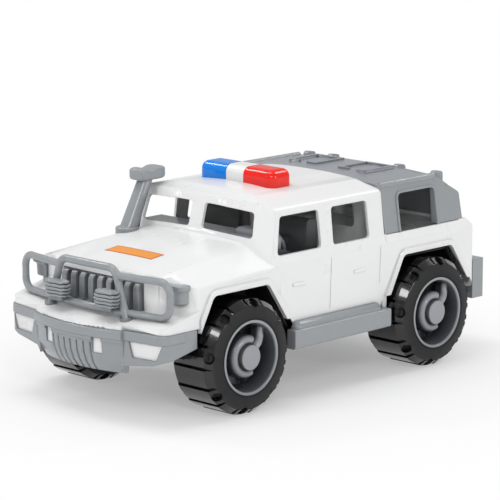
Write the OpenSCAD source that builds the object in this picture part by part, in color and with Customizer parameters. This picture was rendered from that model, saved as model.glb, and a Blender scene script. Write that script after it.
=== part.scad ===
// Toy off-road patrol vehicle: a hollow moulded body on a chassis with four free-rolling wheels.
// X points forward, Y to the vehicle's left, Z up. The origin is on the floor at mid-length. Millimetres.

/* [Wheels] */
// Distance between the axles
wheelbase = 211.5; // [200:0.5:220]
// Front axle ahead of the middle
front_axle_x = 98.5; // [94:0.5:103]
// Tyre radius at the tips of the lugs
tyre_r = 44; // [40:0.5:46]
// Tyre width
tyre_w = 44; // [38:0.5:46]
// Outer face of the tyres from the middle plane
track_half = 97.5; // [95:0.5:102]
// Height of the tread lugs
lug_h = 3; // [1.5:0.1:4]
// Lugs around one tyre
lug_count = 16; // [8:1:18]
// Groove between two lugs
groove_w = 3; // [2:0.5:9]
// Radius where the tyre sits on the rim
rim_r = 28.5; // [24:0.5:31]
// Thickness of the rim's barrel
rim_wall = 2.4; // [1.6:0.1:3.5]
// Depth of the rim's dish behind its ring
dish_depth = 15; // [10:0.5:18]
// Radius of the dish at its floor
dish_r = 22; // [20:0.5:24]
// Radius of the round hub
hub_r = 9.7; // [7:0.1:11]
// Radius of the ridge round the hub
ridge_r = 14; // [11:0.2:15]
// Thickness of that ridge
ridge_d = 8; // [5:0.2:9]
// Thickness of the arm from the hub to the ring
arm_d = 7.6; // [4:0.2:8]
// Diameter of the axle rods
axle_d = 5; // [4:0.1:7]
// Running clearance round the axle rods
axle_gap = 0.3; // [0.15:0.05:0.6]

/* [Body] */
// Wall of the moulded body
wall = 2.4; // [1.6:0.1:3.2]
// Sill above the axles
sill_over_axle = 4; // [2:0.5:8]
// Half width at the sill
sill_y = 82; // [79:0.5:83]
// Half width at the shoulder line
shoulder_y = 84; // [82:0.5:86]
// Shoulder line above the sill
shoulder_h = 57; // [54:0.5:60]
// Half width at the belt line
belt_y = 81.2; // [80:0.2:82]
// Belt line above the sill
belt_h = 63.5; // [61:0.5:66]
// Half width at the eaves
eave_y = 76.2; // [74:0.2:78]
// Eaves above the sill
eave_h = 98.5; // [96:0.5:101]
// Roof above the eaves
roof_rise = 8.1; // [6:0.1:10]
// Back of the cab
cab_rear_x = -65.5; // [-70:0.5:-62]
// Front of the doors
door_front_x = 53; // [50:0.5:56]
// Windscreen at its sill
screen_x = 59.5; // [57:0.5:62]
// Windscreen sill above the body sill
screen_h = 74.5; // [72:0.5:76]
// Lean of the windscreen
screen_lean = 15; // [8:1:20]
// Front wall of the nose
nose_x = 158.5; // [155:0.5:161]
// Back edge of the hood above the sill
hood_h = 73; // [71:0.5:75]
// Slope of the hood
hood_slope = 6.4; // [5:0.2:8]
// Slope of the shoulder line on the nose
shoulder_slope = 2.7; // [1.5:0.1:4]
// Back of the tailgate
tail_x = -177.4; // [-180:0.5:-174]
// Thickness of the floor of the bed
bed_floor_t = 2.4; // [1.6:0.2:4]

/* [Wheel arches] */
// Arch above the top of the tyre
arch_gap = 5; // [3.5:0.5:7]
// Room between the tyre and the front side of its arch
arch_front_room = 2.1; // [1.5:0.1:3.5]
// Room between the tyre and the back side of its arch
arch_back_room = 9.2; // [7:0.2:11]
// Run of the front side of an arch for each millimetre down
arch_front_splay = 0.52; // [0.4:0.01:0.6]
// Run of the back side of an arch for each millimetre down
arch_back_splay = 0.68; // [0.55:0.01:0.72]
// Width of the lip round an arch
flare_w = 4.5; // [3:0.5:6]
// Lip beyond the shoulder line
flare_out = 1.4; // [0.8:0.1:2.4]

/* [Windows] */
// Side windows below the eaves
window_header = 6; // [5:0.5:9]
// Width of the pillar between the side windows
mid_pillar = 13.4; // [10:0.2:18]
// Middle of that pillar
mid_pillar_x = -1.4; // [-4:0.2:2]
// Width of the front side window at its sill
front_window_w = 49; // [44:0.5:50]
// Width of the rear side window at its sill
rear_window_w = 41.5; // [36:0.5:45]
// Windscreen panes: outer edge
pane_y = 60; // [54:0.5:64]
// Windscreen panes below the eaves
pane_header = 4.7; // [4:0.1:7]
// Width of the windscreen's middle pillar
screen_pillar = 13.6; // [9:0.2:18]

/* [Front end] */
// Foremost face of the bumper
bumper_x = 192; // [190:0.5:194]
// Radius of the bumper's middle section seen from above
bumper_r = 132; // [120:1:150]
// Half width of that section
bumper_mid_y = 47.5; // [43:0.5:52]
// Face of the bumper's side sections next to it
bumper_side_x = 181; // [179:0.5:182]
// Bumper at its outer corners
bumper_end_x = 175; // [173:0.5:177]
// Half width of the bumper
bumper_y = 85; // [84.6:0.1:87]
// Top of the bumper above the axles
bumper_over_axle = 26.6; // [24:0.2:28]
// Height of the bumper
bumper_h = 34; // [31:0.5:36]
// Height of the plain band along the bumper's top
band_h = 10; // [9:0.5:12]
// Backward run of the ribbed panel below the band
tuck = 9; // [5:0.5:11]
// Grooves in the ribbed panel
groove_count = 7; // [4:1:8]
// Upward slope of the white deck behind the bumper
deck_slope = 14; // [10:0.5:16]
// Wall of the bumper
bumper_wall = 3; // [2.2:0.1:4]
// Half width of the grille
grille_y = 44; // [40:0.5:47]
// Height of the grille
grille_h = 21.5; // [19:0.5:23]
// Bars in the grille
grille_bars = 9; // [7:1:12]
// Tube of the bull bar
bar_d = 5.8; // [5:0.1:6.4]
// Bull bar ahead of the nose
bar_ahead = 13.5; // [11:0.5:15]
// Half width of the hoop's top
hoop_top_y = 29.5; // [27:0.5:33]
// Half width of the hoop at its feet
hoop_foot_y = 41.3; // [39:0.1:44]
// Top of the hoop above the bumper
hoop_h = 45; // [43:0.5:48]
// Half width of the side loops
loop_y = 79.8; // [76:0.2:82]
// Width of an auxiliary lamp
lamp_w = 19; // [15:0.5:21]
// Height of an auxiliary lamp
lamp_h = 12; // [9:0.5:14]

/* [Roof gear] */
// Half width of the light bar
light_bar_y = 41; // [38:0.5:45]
// Depth of the light bar
light_bar_d = 25; // [22:0.5:28]
// Height of the light bar
light_bar_h = 14.5; // [12:0.5:17]
// Middle of the light bar
light_bar_x = 5.5; // [2:0.5:9]
// Half width of the white middle of the light bar
light_mid_y = 9.4; // [7:0.2:12]
// Edge of the canopy's roof above the eaves
canopy_rise = 2.5; // [0.5:0.1:4]
// Crown of the canopy's roof
canopy_crown = 4.2; // [2:0.1:5.5]
// Wall of the canopy
canopy_wall = 2.4; // [1.8:0.1:3]
// Back of the canopy
canopy_rear_x = -161.5; // [-165:0.5:-158]
// Canopy window: front edge
canopy_window_x = -86; // [-90:0.5:-82]
// Canopy window: width
canopy_window_w = 44; // [38:0.5:47]
// Canopy window below the edge of the roof
canopy_header = 8; // [7.2:0.2:11]

/* [Underbody and interior] */
// Thickness of the chassis plate
chassis_t = 5; // [4:0.5:7]
// Side step beyond the sill
step_out = 9; // [6:0.5:11]
// Height of the side step
step_h = 14.7; // [12:0.2:17]
// Rear bumper depth
rear_bumper_d = 14.6; // [12:0.2:17]
// Rear bumper height
rear_bumper_h = 32; // [28:0.5:34]
// Half width of the rear bumper
rear_bumper_y = 80; // [76:0.5:82]
// Clearance between pieces that seat in each other
fit_gap = 0.2; // [0.1:0.05:0.5]

/* [Hidden] */
$fn = 48;
arc_steps = 5;
far = 300;
axle_z = tyre_r;
rear_axle_x = front_axle_x - wheelbase;
wheel_y = track_half - tyre_w / 2;
sill_z = axle_z + sill_over_axle;
shoulder_z = sill_z + shoulder_h;
belt_z = sill_z + belt_h;
eave_z = sill_z + eave_h;
roof_z = eave_z + roof_rise;
screen_z = sill_z + screen_h;
hood_z = sill_z + hood_h;
arch_z = axle_z + tyre_r + arch_gap;
rail_z = belt_z;
seam_y = eave_y - wall - 1;
ledge_z = axle_z + bumper_over_axle;
step_bottom_z = sill_z - 8.6;
step_top_z = step_bottom_z + step_h;
chassis_top_z = sill_z - 1;
chassis_z = chassis_top_z - chassis_t;
chassis_side_y = sill_y - wall - fit_gap;
wheel_room_y = track_half - tyre_w - 4;
bed_floor_z = arch_z;
bar_x = nose_x + bar_ahead;
deck_edge = 0.6;
function deck_z(x) = ledge_z + deck_edge + (bumper_x - x) * tan(deck_slope);
grille_z = deck_z(nose_x - wall) + fit_gap;
window_top_z = eave_z - window_header;
pane_h = (eave_z - screen_z - pane_header) / cos(screen_lean);

white = "white";
grey = [0.58, 0.60, 0.62];
dark_grey = [0.32, 0.33, 0.35];
black = [0.08, 0.08, 0.09];

// Outlines are rows of two coordinates and a corner radius, counter-clockwise.
function point(row) = [row[0], row[1]];
function unit(v) = v / norm(v);
function turned(v, a) = [v[0] * cos(a) - v[1] * sin(a), v[0] * sin(a) + v[1] * cos(a)];

// The arc that rounds corner q between p and s
function corner_arc(p, q, s, r) =
    r == 0 ? [q] :
    let (a = unit(p - q), b = unit(s - q), half = acos(a * b) / 2)
    let (centre = q + unit(a + b) * (r / sin(half)))
    let (start = q + a * (r / tan(half)) - centre)
    let (sweep = sign(cross(q - p, s - q)) * (180 - 2 * half))
    [for (i = [0:arc_steps]) centre + turned(start, sweep * i / arc_steps)];

function outline(rows) =
    let (n = len(rows))
    [for (i = [0:n - 1])
        each corner_arc(point(rows[(i + n - 1) % n]), point(rows[i]), point(rows[(i + 1) % n]), rows[i][2])];

// A counter-clockwise outline moved inward by d, or outward where d is negative
function shrunk(points, d) =
    let (n = len(points))
    [for (i = [0:n - 1])
        let (u = unit(points[i] - points[(i + n - 1) % n]), v = unit(points[(i + 1) % n] - points[i]))
        let (m = [-u[1], u[0]], k = [-v[1], v[0]])
        points[i] + d * (m + k) / (1 + m * k)];

// Rows up one side, then their mirror image down the other
function both_sides(half) = concat(half, [for (i = [len(half) - 1:-1:0]) [-half[i][0], half[i][1], half[i][2]]]);

// How far an inner shape runs past the faces that are open
function past(d) = d > 0 ? 60 : 0;

// Extrusions along X of a Y, Z outline and along Y of an X, Z outline
module along_x(x0, x1) {
    translate([x0, 0, 0]) rotate([90, 0, 90]) linear_extrude(x1 - x0) children();
}
module along_y(y0, y1) {
    translate([0, y1, 0]) rotate([90, 0, 0]) linear_extrude(y1 - y0) children();
}
module along_z(z0, z1) {
    translate([0, 0, z0]) linear_extrude(z1 - z0) children();
}
module box(low, high) {
    translate(low) cube(high - low);
}
module to_right() {
    mirror([0, 1, 0]) children();
}

// Body: three blocks, each drawn once solid and once shrunk by the wall

// Nose: crowned hood, bevelled shoulders, side outline and plan
hood_crown = [[far, -far, 0], [far, -32, 0], [62, -2.4, 120], [20, 0, 300]];
nose_top_r = 9;
bevel_y = 56;
bevel_h = 12.6;
nose_side_y = shoulder_y + 0.4;
nose_plan_half = [[nose_x - 1, 30, 200], [nose_x - 2.5, 58, 20], [nose_x - 13, nose_side_y, 14]];

function nose_side(d) = shrunk(outline([
    [door_front_x - past(d), ledge_z - 30 - past(d), 0],
    [nose_x, ledge_z - 30 - past(d), 0],
    [nose_x, hood_z + 0.5 - (nose_x - screen_x) * tan(hood_slope), nose_top_r],
    [door_front_x - past(d), hood_z + 0.5 + (screen_x - door_front_x + past(d)) * tan(hood_slope), 0]]), d);

function nose_shoulder(d) = shrunk(outline(both_sides([
    [sill_y, -shoulder_h - 30 - past(d), 0], [shoulder_y, 0, 2.5], [bevel_y, bevel_h, 40],
    [4, bevel_h + 11, 0]])), d);

function nose_plan(d) = shrunk(outline([
    [door_front_x - past(d), -nose_side_y, 0],
    for (i = [len(nose_plan_half) - 1:-1:0]) [nose_plan_half[i][0], -nose_plan_half[i][1], nose_plan_half[i][2]],
    for (row = nose_plan_half) row,
    [door_front_x - past(d), nose_side_y, 0]]), d);

module nose_block(d) {
    intersection() {
        along_y(-far, far) polygon(nose_side(d));
        translate([screen_x, 0, hood_z]) rotate([0, hood_slope, 0])
            along_x(-past(1) * 2, far) polygon(shrunk(outline(both_sides(hood_crown)), d));
        translate([door_front_x, 0, shoulder_z]) rotate([0, shoulder_slope, 0])
            along_x(-past(1) * 2, far) polygon(nose_shoulder(d));
        along_z(-far, far) polygon(nose_plan(d));
    }
}

// Cab: section, side outline and a leaning plan
cab_half = [
    [sill_y, sill_z, 0], [shoulder_y, shoulder_z, 2.5], [belt_y, belt_z, 5], [eave_y, eave_z, 5],
    [46, roof_z - 2, 80], [16, roof_z, 150]];
roof_front_drop = 5;
roof_front_run = 15.4;
brow_slope = 8;
roof_front_x = screen_x - (roof_z - screen_z) * tan(screen_lean);
rear_lean = 2;

function cab_section(d) = shrunk(outline(concat([[cab_half[0][0], sill_z - past(d), 0]],
    [for (i = [1:5]) cab_half[i]], [for (i = [5:-1:1]) [-cab_half[i][0], cab_half[i][1], cab_half[i][2]]],
    [[-cab_half[0][0], sill_z - past(d), 0]])), d);

function cab_side_outline(d) = shrunk(outline([
    [cab_rear_x, sill_z - past(d), 0], [far, sill_z - past(d), 0],
    [far, roof_z - roof_front_drop - (far - roof_front_x) * tan(brow_slope), 0],
    [roof_front_x, roof_z - roof_front_drop, 0],
    [roof_front_x - roof_front_run, roof_z + 0.3, 30],
    [cab_rear_x - rear_lean, roof_z + 0.3, 4]]), d);

cab_plan_half = [[2.2, 24, 150], [0, pane_y, 60], [-2.5, belt_y - 2, 0], [-7, belt_y + 3, 0]];
function cab_plan(d) = shrunk(outline([
    [-far, -far, 0], [-40, -far, 0],
    for (i = [len(cab_plan_half) - 1:-1:0]) [cab_plan_half[i][0], -cab_plan_half[i][1], cab_plan_half[i][2]],
    for (row = cab_plan_half) row,
    [-40, far, 0], [-far, far, 0]]), d);

module cab_block(d) {
    intersection() {
        along_x(-far, far) polygon(cab_section(d));
        along_y(-far, far) polygon(cab_side_outline(d));
        translate([screen_x, 0, screen_z]) rotate([0, -screen_lean, 0]) along_z(-far, far) polygon(cab_plan(d));
    }
}
module cab_shell() {
    difference() {
        cab_block(0);
        cab_block(wall);
    }
}

// Bed: section, side outline with a raked tail, and a plan with round corners
function bed_section(d) = shrunk(outline(both_sides([
    [sill_y, sill_z - past(d), 0], [shoulder_y, shoulder_z, 2.5], [belt_y, rail_z + past(d), 0]])), d);
tail_rake = 4;
tail_chamfer = 8;
// Behind this the bed is closed on top
bed_lid_x = canopy_rear_x + canopy_wall;
function bed_side_outline(d) = shrunk(outline(concat(
    [[cab_rear_x + past(d), sill_z - past(d), 0], [cab_rear_x + past(d), rail_z + past(d), 0]],
    d > 0 ? [[bed_lid_x, rail_z + past(d), 0], [bed_lid_x, rail_z, 0]] : [],
    [[tail_x + tail_rake + tail_chamfer, rail_z, 0], [tail_x + tail_rake, rail_z - tail_chamfer, 0],
        [tail_x, shoulder_z - 26, 3], [tail_x, sill_z - past(d), 0]])), d);
function bed_plan(d) = shrunk(outline([
    [tail_x, -shoulder_y, 9], [cab_rear_x + past(d), -shoulder_y, 0], [cab_rear_x + past(d), shoulder_y, 0],
    [tail_x, shoulder_y, 9]]), d);

module bed_block(d) {
    intersection() {
        along_x(-far, far) polygon(bed_section(d));
        along_y(-far, far) polygon(bed_side_outline(d));
        along_z(-far, far) polygon(bed_plan(d));
    }
}
module bed_shell() {
    difference() {
        bed_block(0);
        bed_block(wall);
    }
}

// Wheel arches
arch_r = 6;
arch_rise = arch_z - axle_z;
// Half width at the top of an arch whose slanting side keeps its room from the tyre
function arch_half(room, splay) = (tyre_r + room) * sqrt(1 + splay * splay) - splay * arch_rise;
arch_front = arch_half(arch_front_room, arch_front_splay);
arch_back = arch_half(arch_back_room, arch_back_splay);
function arch(x) = outline([
    [x - arch_back - arch_back_splay * arch_z, 0, 0], [x + arch_front + arch_front_splay * arch_z, 0, 0],
    [x + arch_front, arch_z, arch_r], [x - arch_back, arch_z, arch_r]]);
function flare_outline(x) = shrunk(arch(x), -flare_w);
module flared_cut(x) {
    along_y(-far, far) polygon(flare_outline(x));
}
// The raised band round an arch on the left side, above the step
flare_foot = 9;
module flare(x) {
    intersection() {
        along_y(shoulder_y - wall, shoulder_y + flare_out) difference() {
            polygon(flare_outline(x));
            polygon(arch(x));
        }
        box([-far, 0, step_top_z + flare_foot], [far, far, far]);
    }
}

// Nose pieces
seam_drop = 3;
corner_x = front_axle_x + arch_front + arch_front_splay * (arch_z - ledge_z) + 2;
module nose_shell() {
    difference() {
        nose_block(0);
        nose_block(wall);
        box([nose_x - 4 * wall, -grille_y, grille_z], [far, grille_y, grille_z + grille_h]);
    }
}
module above_seam() {
    translate([door_front_x, 0, shoulder_z - seam_drop]) rotate([0, shoulder_slope, 0])
        box([-far, -far, 0], [far, far, far]);
}
module hood() {
    color(white) difference() {
        intersection() {
            nose_shell();
            above_seam();
        }
        cab_block(0);
        flared_cut(front_axle_x);
    }
}
module fender() {
    color(white) {
        difference() {
            intersection() {
                nose_shell();
                box([door_front_x, 0, ledge_z], [corner_x, far, far]);
            }
            above_seam();
            flared_cut(front_axle_x);
        }
        difference() {
            flare(front_axle_x);
            box([corner_x, 0, 0], [far, far, far]);
        }
    }
}
module fender_left() {
    fender();
}
module fender_right() {
    to_right() fender();
}

// Bumper seen from above: straight side sections, and a middle section curved about an upright axis
bumper_axis_x = bumper_x - bumper_r;
function bumper_sides() = outline([
    [corner_x, -bumper_y, 0], [bumper_end_x, -bumper_y, 9], [bumper_side_x, -bumper_mid_y, 0],
    [bumper_side_x, bumper_mid_y, 0], [bumper_end_x, bumper_y, 9], [corner_x, bumper_y, 0]]);
deck_inset = 0.8;
skirt_h = 19;
skirt_setback = bumper_wall + 2.4;
module curved_middle(r, half_y) {
    intersection() {
        translate([bumper_axis_x, 0, 0]) cylinder(r = r, h = far);
        box([corner_x, -half_y, 0], [far, half_y, far]);
    }
}
// White deck: its outline moved in by an inset, under a plane lowered by a drop
module deck_block(inset, drop) {
    intersection() {
        union() {
            curved_middle(bumper_r - inset, bumper_mid_y - inset);
            along_z(0, far) polygon(shrunk(bumper_sides(), inset));
        }
        along_y(-far, far) polygon([
            [corner_x, ledge_z - past(drop)], [bumper_x, ledge_z - past(drop)],
            [bumper_x, deck_z(bumper_x) - drop], [corner_x, deck_z(corner_x) - drop]]);
    }
}
module skirt_block(inset) {
    curved_middle(bumper_r - inset, bumper_mid_y - 7);
    difference() {
        along_z(0, far) polygon(shrunk(bumper_sides(), inset));
        box([0, -bumper_mid_y + 3, -1], [far, bumper_mid_y - 3, far + 1]);
    }
}
module front_panel() {
    color(white) {
        difference() {
            intersection() {
                nose_shell();
                box([corner_x, -far, ledge_z], [far, far, far]);
            }
            above_seam();
        }
        difference() {
            deck_block(deck_inset, 0);
            deck_block(skirt_setback + wall, wall);
            along_z(0, far) polygon(nose_plan(wall));
        }
        intersection() {
            difference() {
                skirt_block(skirt_setback);
                skirt_block(skirt_setback + wall);
            }
            box([corner_x + 14, -far, ledge_z - skirt_h], [far, far, ledge_z + deck_edge / 2]);
        }
    }
}

// Cab pieces
window_r = 3;
front_window_rake = 6.8;
function side_windows() = [
    outline([
        [mid_pillar_x + mid_pillar / 2, belt_z, window_r],
        [mid_pillar_x + mid_pillar / 2 + front_window_w, belt_z, window_r],
        [mid_pillar_x + mid_pillar / 2 + front_window_w - front_window_rake, window_top_z, window_r],
        [mid_pillar_x + mid_pillar / 2, window_top_z, window_r]]),
    outline([
        [mid_pillar_x - mid_pillar / 2 - rear_window_w, belt_z, window_r],
        [mid_pillar_x - mid_pillar / 2, belt_z, window_r],
        [mid_pillar_x - mid_pillar / 2 - 1, window_top_z, window_r],
        [mid_pillar_x - mid_pillar / 2 - rear_window_w, window_top_z, window_r]])];
cowl_z = shoulder_z - seam_drop;
module cab_side() {
    color(white) difference() {
        intersection() {
            cab_shell();
            union() {
                box([cab_rear_x - 10, seam_y, sill_z], [door_front_x, far, cowl_z]);
                box([cab_rear_x - 10, seam_y, cowl_z], [far, far, eave_z - 3]);
            }
        }
        along_y(0, far) for (window = side_windows()) polygon(window);
        flared_cut(front_axle_x);
        flared_cut(rear_axle_x);
    }
}
module cab_side_left() {
    cab_side();
}
module cab_side_right() {
    to_right() cab_side();
}
module windscreen_panes() {
    translate([screen_x, 0, screen_z]) rotate([0, -screen_lean, 0]) for (side = [-1, 1])
        along_x(-30, 30) polygon(side > 0 ? pane() : [for (p = pane()) [-p[0], p[1]]]);
}
function pane() = outline([
    [screen_pillar / 2, 1.6, 2.5], [pane_y, 0, 3], [pane_y - 2.5, pane_h, 3], [screen_pillar / 2, pane_h + 1.6, 2.5]]);
module windscreen_frame() {
    color(white) difference() {
        intersection() {
            cab_shell();
            box([screen_x - 40, -seam_y, cowl_z], [far, seam_y, eave_z - 3]);
        }
        windscreen_panes();
    }
}
module roof() {
    color(white) intersection() {
        cab_shell();
        box([-far, -far, eave_z - 3], [far, far, far]);
    }
}
rear_window_y = 52;
rear_window_header = 9;
module cab_rear_wall() {
    color(white) difference() {
        intersection() {
            cab_shell();
            box([cab_rear_x - 10, -seam_y, chassis_top_z], [cab_rear_x + 10, seam_y, eave_z - 3]);
        }
        along_x(-far, 0) polygon(outline(both_sides([
            [rear_window_y, belt_z + 2, 4], [rear_window_y - 4, eave_z - rear_window_header, 4]])));
    }
}

// Bed pieces
module bed_side() {
    color(white) {
        difference() {
            intersection() {
                bed_shell();
                box([-far, seam_y - 6, sill_z], [cab_rear_x - rear_lean, far, far]);
            }
            flared_cut(rear_axle_x);
        }
        intersection() {
            flare(rear_axle_x);
            box([tail_x + 1, 0, 0], [far, far, far]);
        }
    }
}
module bed_side_left() {
    bed_side();
}
module bed_side_right() {
    to_right() bed_side();
}
module tailgate() {
    color(white) intersection() {
        bed_shell();
        box([tail_x - 10, 6 - seam_y, sill_z], [tail_x + 30, seam_y - 6, far]);
    }
}
module bed_floor() {
    color(white) intersection() {
        bed_block(wall);
        box([-far, -far, bed_floor_z], [cab_rear_x - rear_lean, far, bed_floor_z + bed_floor_t]);
    }
}

// Canopy over the bed
canopy_front_x = cab_rear_x - rear_lean;
canopy_top_z = eave_z + canopy_rise;
canopy_top_y = eave_y - 0.7;
canopy_seam_y = canopy_top_y - 5;
canopy_flat_y = 30;
canopy_crown_z = canopy_top_z + canopy_crown;
// The roof's slope down to the rear wall
slope_run = 13;
slope_drop = 9;
slope_x = canopy_rear_x + 2 * slope_run;
function canopy_section(d) = shrunk(outline(both_sides([
    [belt_y, rail_z - past(d), 0], [canopy_top_y, canopy_top_z, 5], [canopy_flat_y, canopy_crown_z, 150]])), d);
function canopy_side_outline(d) = shrunk(outline([
    [canopy_rear_x, rail_z - past(d), 0], [canopy_front_x + past(d), rail_z - past(d), 0],
    [canopy_front_x + past(d), canopy_crown_z, 0],
    [slope_x + canopy_crown * slope_run / slope_drop, canopy_crown_z, 6],
    [slope_x - slope_run, canopy_top_z - slope_drop, 6],
    [canopy_rear_x + 1, canopy_top_z - 16, 4]]), d);
module canopy_block(d) {
    intersection() {
        along_x(-far, far) polygon(canopy_section(d));
        along_y(-far, far) polygon(canopy_side_outline(d));
    }
}
module canopy_shell() {
    difference() {
        canopy_block(0);
        canopy_block(canopy_wall);
    }
}
canopy_rear_cut = slope_x + 10;
rail_r = 2.6;
rail_in = 2.2;
rail_sink = 0.2;
module roof_rail() {
    translate([canopy_front_x - 1, canopy_top_y - rail_in, canopy_top_z - rail_sink]) rotate([0, -90, 0])
        cylinder(r = rail_r, h = canopy_front_x - 1 - slope_x - 2);
}
// Raised frames on the roof, each with a break in the middle of its front edge
hatch_l = 34;
hatch_w = 30;
hatch_y = 27;
hatch_rim = 3;
hatch_h = 1.6;
hatch_break = 9;
hatch_back = 9;
module roof_hatch() {
    along_z(canopy_top_z, canopy_crown_z + hatch_h) difference() {
        square([hatch_l, hatch_w], center = true);
        square([hatch_l - 2 * hatch_rim, hatch_w - 2 * hatch_rim], center = true);
        translate([hatch_l / 2, 0]) square([3 * hatch_rim, hatch_break], center = true);
    }
}
module canopy_roof() {
    color(dark_grey) {
        intersection() {
            canopy_shell();
            box([canopy_rear_cut, -canopy_seam_y, rail_z], [far, canopy_seam_y, far]);
        }
        difference() {
            for (side = [-1, 1]) translate([(canopy_front_x + canopy_rear_cut) / 2 - hatch_back, side * hatch_y, 0])
                roof_hatch();
            canopy_block(canopy_wall / 2);
        }
    }
}
function canopy_window() = outline([
    [canopy_window_x - canopy_window_w, rail_z - 10, 0], [canopy_window_x, rail_z - 10, 0],
    [canopy_window_x, canopy_top_z - canopy_header, 4],
    [canopy_window_x - canopy_window_w, canopy_top_z - canopy_header, 4]]);
trim_w = 2;
trim_out = 1;
// Rail and window trim on the left side, proud of the wall
module side_trim() {
    difference() {
        union() {
            roof_rail();
            intersection() {
                along_y(canopy_seam_y, far) polygon(shrunk(canopy_window(), -trim_w));
                translate([0, trim_out, 0]) canopy_block(0);
                box([-far, 0, rail_z], [far, far, far]);
            }
        }
        canopy_block(canopy_wall / 2);
    }
}
module canopy_side() {
    color(grey) difference() {
        union() {
            intersection() {
                canopy_shell();
                box([canopy_rear_cut, canopy_seam_y, rail_z], [far, far, far]);
            }
            intersection() {
                side_trim();
                box([canopy_rear_cut, 0, 0], [far, far, far]);
            }
        }
        along_y(-far, far) polygon(canopy_window());
    }
}
module canopy_side_left() {
    canopy_side();
}
module canopy_side_right() {
    to_right() canopy_side();
}
knob_l = 10;
knob_w = 5;
knob_h = 10;
module rail_knob() {
    along_y(-knob_w / 2, knob_w / 2) polygon(outline([
        [-knob_l / 2, -knob_h, 0], [knob_l / 2, -knob_h, 0], [knob_l / 2, 3, 3], [-knob_l / 2, 2, 3]]));
}
module canopy_rear() {
    color(grey) difference() {
        union() {
            intersection() {
                canopy_shell();
                box([-far, -far, rail_z], [canopy_rear_cut, far, far]);
            }
            intersection() {
                union() {
                    side_trim();
                    to_right() side_trim();
                }
                box([-far, -far, 0], [canopy_rear_cut, far, far]);
            }
            difference() {
                for (side = [-1, 1]) {
                    translate([slope_x - knob_l * 0.7, side * (canopy_seam_y - 1), canopy_top_z]) rail_knob();
                    translate([slope_x, side * 36, canopy_crown_z - 2]) rail_knob();
                }
                canopy_block(canopy_wall / 2);
            }
        }
        along_y(-far, far) polygon(canopy_window());
    }
}

// Chassis: a waisted plate with a cradle for each axle
cradle_w = 14;
cradle_y = wheel_room_y - 9.5;
pad_l = 90;
pad_w = 60;
pad_t = 1.5;
function chassis_plan() = [
    [tail_x + wall + 4, -rear_bumper_y + 6], [rear_axle_x - tyre_r - 4, -rear_bumper_y + 6],
    [rear_axle_x - tyre_r - 4, -wheel_room_y], [rear_axle_x + tyre_r + 4, -wheel_room_y],
    [rear_axle_x + tyre_r + 4, -chassis_side_y], [front_axle_x - tyre_r - 10, -chassis_side_y],
    [front_axle_x - tyre_r - 10, -wheel_room_y], [front_axle_x + tyre_r + 4, -wheel_room_y],
    [nose_x, -wheel_room_y]];
module axle_cradle(x) {
    for (side = [-1, 1]) translate([x, side * cradle_y, 0])
        box([-cradle_w / 2, -4, axle_z - cradle_w / 2], [cradle_w / 2, 4, chassis_z + 1]);
}
module chassis() {
    plan = chassis_plan();
    color(black) difference() {
        union() {
            along_z(chassis_z, chassis_top_z) polygon(concat(plan,
                [for (i = [len(plan) - 1:-1:0]) [plan[i][0], -plan[i][1]]]));
            for (x = [front_axle_x, rear_axle_x]) axle_cradle(x);
            box([-pad_l / 2, -pad_w / 2, chassis_z - pad_t], [pad_l / 2, pad_w / 2, chassis_z + 1]);
        }
        for (x = [front_axle_x, rear_axle_x]) translate([x, 0, axle_z]) rotate([90, 0, 0])
            cylinder(d = axle_d, h = far, center = true);
    }
}
module axle_rod(x) {
    color("silver") translate([x, 0, axle_z]) rotate([90, 0, 0])
        cylinder(d = axle_d, h = 2 * (track_half - dish_depth + 1), center = true);
}
module axle_front() {
    axle_rod(front_axle_x);
}
module axle_rear() {
    axle_rod(rear_axle_x);
}

// Bumpers and steps
bumper_low_z = ledge_z - bumper_h;
panel_h = bumper_h - band_h;
panel_step = 0.8;
// Face of the middle section: setback from the radius and height above the lower edge
function bumper_face() = [
    [tuck, 0], [0.5 * tuck, 0.27 * panel_h], [0.2 * tuck, 0.58 * panel_h], [panel_step, panel_h],
    [0, panel_h], [0, bumper_h]];
// The face with a back that lies at a depth behind it, turned about the bumper's axis
module bumper_ring(front, depth) {
    rows = bumper_face();
    n = len(rows);
    translate([bumper_axis_x, 0, bumper_low_z]) rotate_extrude() polygon([
        for (row = rows) [bumper_r - row[0] + front, row[1]],
        for (i = [n - 1:-1:0]) [bumper_r - rows[i][0] - depth, rows[i][1]]]);
}
groove_depth = 1;
face_groove_w = 1.4;
groove_pitch = 6.9 / bumper_r * 180 / PI;
slot_y = [22, 30.5];
slot_z = [-19.4, -7.6];
module bumper_middle() {
    difference() {
        intersection() {
            bumper_ring(0, bumper_wall);
            box([corner_x, -bumper_mid_y, 0], [far, bumper_mid_y, far]);
        }
        intersection() {
            bumper_ring(1, groove_depth);
            translate([bumper_axis_x, 0, 0]) for (i = [0:groove_count - 1])
                rotate([0, 0, (i - (groove_count - 1) / 2) * groove_pitch])
                    box([0, -face_groove_w / 2, 0], [far, face_groove_w / 2, bumper_low_z + panel_h - 2]);
        }
    }
}
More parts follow.
